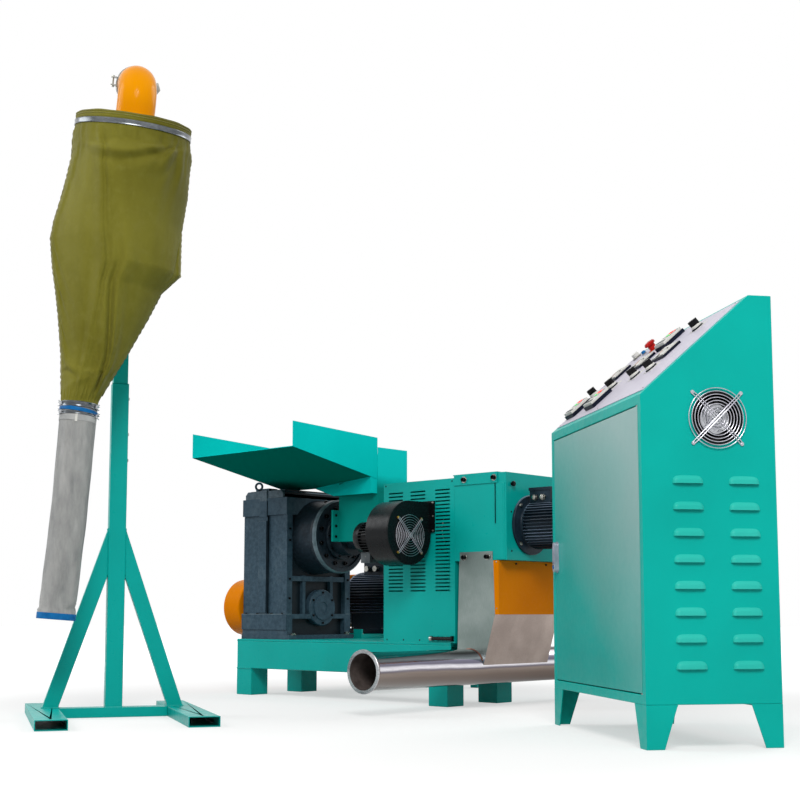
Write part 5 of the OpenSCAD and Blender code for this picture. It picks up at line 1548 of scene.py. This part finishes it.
def neck_strap():
    """The toggle clamp and the blue strap that tie the bag's neck to the sleeve."""
    s = Shape(SLEEVE)
    r = NECK_R + 0.4
    for low, high, thick in ((-32, -10, 2.4), (-62, -50, 1.8)):
        side, rim = r + thick, r + thick + 0.8
        s.lathe([(r, low), (side, low + 0.6), (rim, low + 2), (side, low + 4), (side, high - 4),
                 (rim, high - 2), (side, high - 0.6), (r, high)], 0, ROW, 96, closed=True)
    for turn, z in ((198, -21), (330, -23), (203, -55), (336, -58)):
        at = spin(turn, "Z") @ shift(r + 2, 0, z)
        s.box((-1, -9, -6), (5, 9, 6), 1, at)
        s.tube([(4, -7, -6), (9, -8, -11), (11, 0, -13), (9, 8, -11), (4, 7, -6)], 1.6, 1, at, 8)
        s.rod(3.2, -11, 11, 1, at @ shift(6, 0, 3) @ spin(90, "X"), 16)
        s.tube([(5, -6, 5), (11, -5, 10), (11, 5, 10), (5, 6, 5)], 1.4, 1, at, 8)
    s.make("neck_strap_steel", "mast", [BAND, CHROME], bevel=0.4, segments=1, slot="chrome",
           replaces=["neck_clamp"], fuse=False)
    b = Shape(SLEEVE)
    tilt = spin(5, "Y")
    b.lathe([(r + 0.4, -50), (r + 2.6, -49.2), (r + 3, -46), (r + 3, -38), (r + 2.6, -34.8), (r + 0.4, -34)],
            0, shift(0, 0, -41) @ tilt @ shift(0, 0, 41), 96, closed=True)
    b.make("neck_strap_blue", "mast", [BLUE], slot="sleeve_mesh", sharp=50)


def sleeve():
    """The mesh sleeve under the bag: a light top hem, soft buckles and a blue bottom hem."""
    steps, count = 96, 72
    s = Shape(SLEEVE)
    points = []
    for k in range(count + 1):
        down = k / count
        z = -18 - (SLEEVE_L - 20) * down
        base = NECK_R - 0.5 + 1.6 * smooth(0.8, 1, down)
        loose = smooth(0.04, 0.3, down) * (1 - smooth(0.93, 1, down))
        for a in turns(steps):
            out = 1.0 * math.sin(3 * a + 5 * down) + 0.8 * math.sin(5 * a - 11 * down + 1)
            out += 0.7 * math.sin(2 * a + 26 * down)
            points.append(((base + out * loose) * math.cos(a), (base + out * loose) * math.sin(a), z))
    s.add(points, grid(count + 1, steps))
    cloth = s.make("sleeve_cloth", "mast", [NET], slot="sleeve_mesh", replaces=["outlet_sleeve"], sharp=180)
    held = [1.0 if k < 3 or k > count - 3 else 0.03 for k in range(count + 1) for _ in range(steps)]
    settle(cloth, held, 12, 0.008, 0.006)
    h = Shape(SLEEVE)
    r, low = NECK_R + 1.2, -SLEEVE_L + 2
    h.lathe([(r, low), (r + 1.8, low + 1.2), (r + 1.6, low + 23), (r + 1.2, low + 25), (r, low + 24)],
            0, ROW, 96, closed=True)
    hem = h.make("sleeve_bottom_hem", "mast", [BLUE_WEB], slot="sleeve_mesh", sharp=50)
    t = Shape(SLEEVE)
    r = NECK_R + 0.2
    t.lathe([(r - 0.6, -86), (r + 0.6, -85.4), (r + 0.7, -63), (r - 0.6, -62)], 0, ROW, 96, closed=True)
    t.box((-4.5, -r - 1.4, -92), (4.5, -r + 0.5, -50), 1, spin(-8, "Z"))
    top = t.make("sleeve_top_hem", "mast", [WHITE_WEB, WHITE], slot="sleeve_mesh", sharp=50)


# ---- camera, light and floor

def aim(thing, eye, ahead, up):
    """Puts a camera or lamp at eye and turns it to look along ahead."""
    ahead, up = Vector(ahead).normalized(), Vector(up)
    right = ahead.cross(up).normalized()
    up = right.cross(ahead)
    turn = Matrix((right, up, -ahead)).transposed()
    thing.matrix_world = Matrix.Translation(eye) @ turn.to_4x4()


def seen_ray(tree):
    """1 for camera, glossy and transmission rays, so that metal and glass show the white room too."""
    rays = tree.nodes.new("ShaderNodeLightPath").outputs
    seen = rays["Is Camera Ray"]
    for kind in ("Is Glossy Ray", "Is Transmission Ray"):
        either = tree.nodes.new("ShaderNodeMath")
        either.operation = "MAXIMUM"
        tree.links.new(seen, either.inputs[0])
        tree.links.new(rays[kind], either.inputs[1])
        seen = either.outputs[0]
    return seen


def put(name, data):
    """A new object in the scene."""
    made = bpy.data.objects.new(name, data)
    bpy.context.scene.collection.objects.link(made)
    return made


def lamp(name, centre, offset, size, watts, colour):
    """A round area lamp that looks at the centre from an offset."""
    data = bpy.data.lights.new(name, "AREA")
    data.shape = "DISK"
    data.size = size
    data.energy = watts
    data.color = colour
    aim(put(name, data), centre + Vector(offset), -Vector(offset), (0, 0, 1))


def white_floor(centre):
    """A floor that is grey near the machine, so that it takes a shadow, and fades to white around it."""
    reach = 30
    mesh = bpy.data.meshes.new("floor")
    corners = [(-reach, -reach, 0), (reach, -reach, 0), (reach, reach, 0), (-reach, reach, 0)]
    mesh.from_pydata(corners, [], [(0, 1, 2, 3)])
    floor = put("floor", mesh)
    floor.location = (centre.x, centre.y, -0.0005)
    f = Finish("floor", "#000000", 0.9, Base_Color=(0.5, 0.5, 0.5, 1), Specular_IOR_Level=0.0,
               Emission_Color=(1, 1, 1, 1))
    spot = f.node("ShaderNodeTexCoord").outputs["Object"]
    far = f.node("ShaderNodeVectorMath", [(0, spot)], operation="LENGTH").outputs["Value"]
    f.drive("Emission Strength", f.maths("MULTIPLY", f.spread(far, 2.2, 5.5, 0.52, 1.0), seen_ray(f.tree)))
    mesh.materials.append(f.material)


def studio():
    scene = bpy.context.scene
    scene.view_settings.view_transform = "Standard"
    centre = (cad_low + cad_high) / 2

    # the camera was matched to the photograph
    lens = bpy.data.cameras.new("camera")
    lens.lens = 60.99
    lens.sensor_width = 36
    lens.shift_y = 0.08
    lens.clip_end = 200
    camera = put("camera", lens)
    scene.camera = camera
    pitch, heading = math.radians(6.203), math.radians(-42.583)
    level = Vector((math.sin(heading), math.cos(heading), 0))
    ahead = level * math.cos(pitch) + Vector((0, 0, math.sin(pitch)))
    aim(camera, (5.4655, -4.7955, 0.433), ahead, (0, 0, 1))

    lamp("key", centre, (4.5, -5.0, 4.2), 3.0, 330, (1, 0.985, 0.96))
    lamp("fill", centre, (-5.0, -4.2, 3.0), 4.0, 160, (0.96, 0.98, 1))
    lamp("back", centre, (1.0, 6.0, 4.5), 4.0, 150, (1, 1, 1))

    world = bpy.data.worlds.new("world")
    scene.world = world
    world.use_nodes = True
    tree = world.node_tree
    strength = tree.nodes.new("ShaderNodeMapRange")
    lighting, seen = 0.42, 1.0  # how bright the room is as a light, and as it is seen
    strength.inputs["To Min"].default_value = lighting
    strength.inputs["To Max"].default_value = seen
    tree.links.new(seen_ray(tree), strength.inputs["Value"])
    room = tree.nodes["Background"].inputs
    room["Color"].default_value = (1, 1, 1, 1)
    tree.links.new(strength.outputs[0], room["Strength"])
    white_floor(centre)


# ---- the whole line

for build in (studio, base_and_drive_frame, gearbox, bearing_cover, thrust_housing, barrel_and_screw, hopper,
              barrel_cover, cutting_head, cutter_motor, blower_scroll, blower_guard, blower_motor, main_motor,
              belt_guard, chute, pipe, cabinet, console, cabinet_fan, stand, elbow, bag, bag_hoop, neck_strap,
              sleeve):
    build()
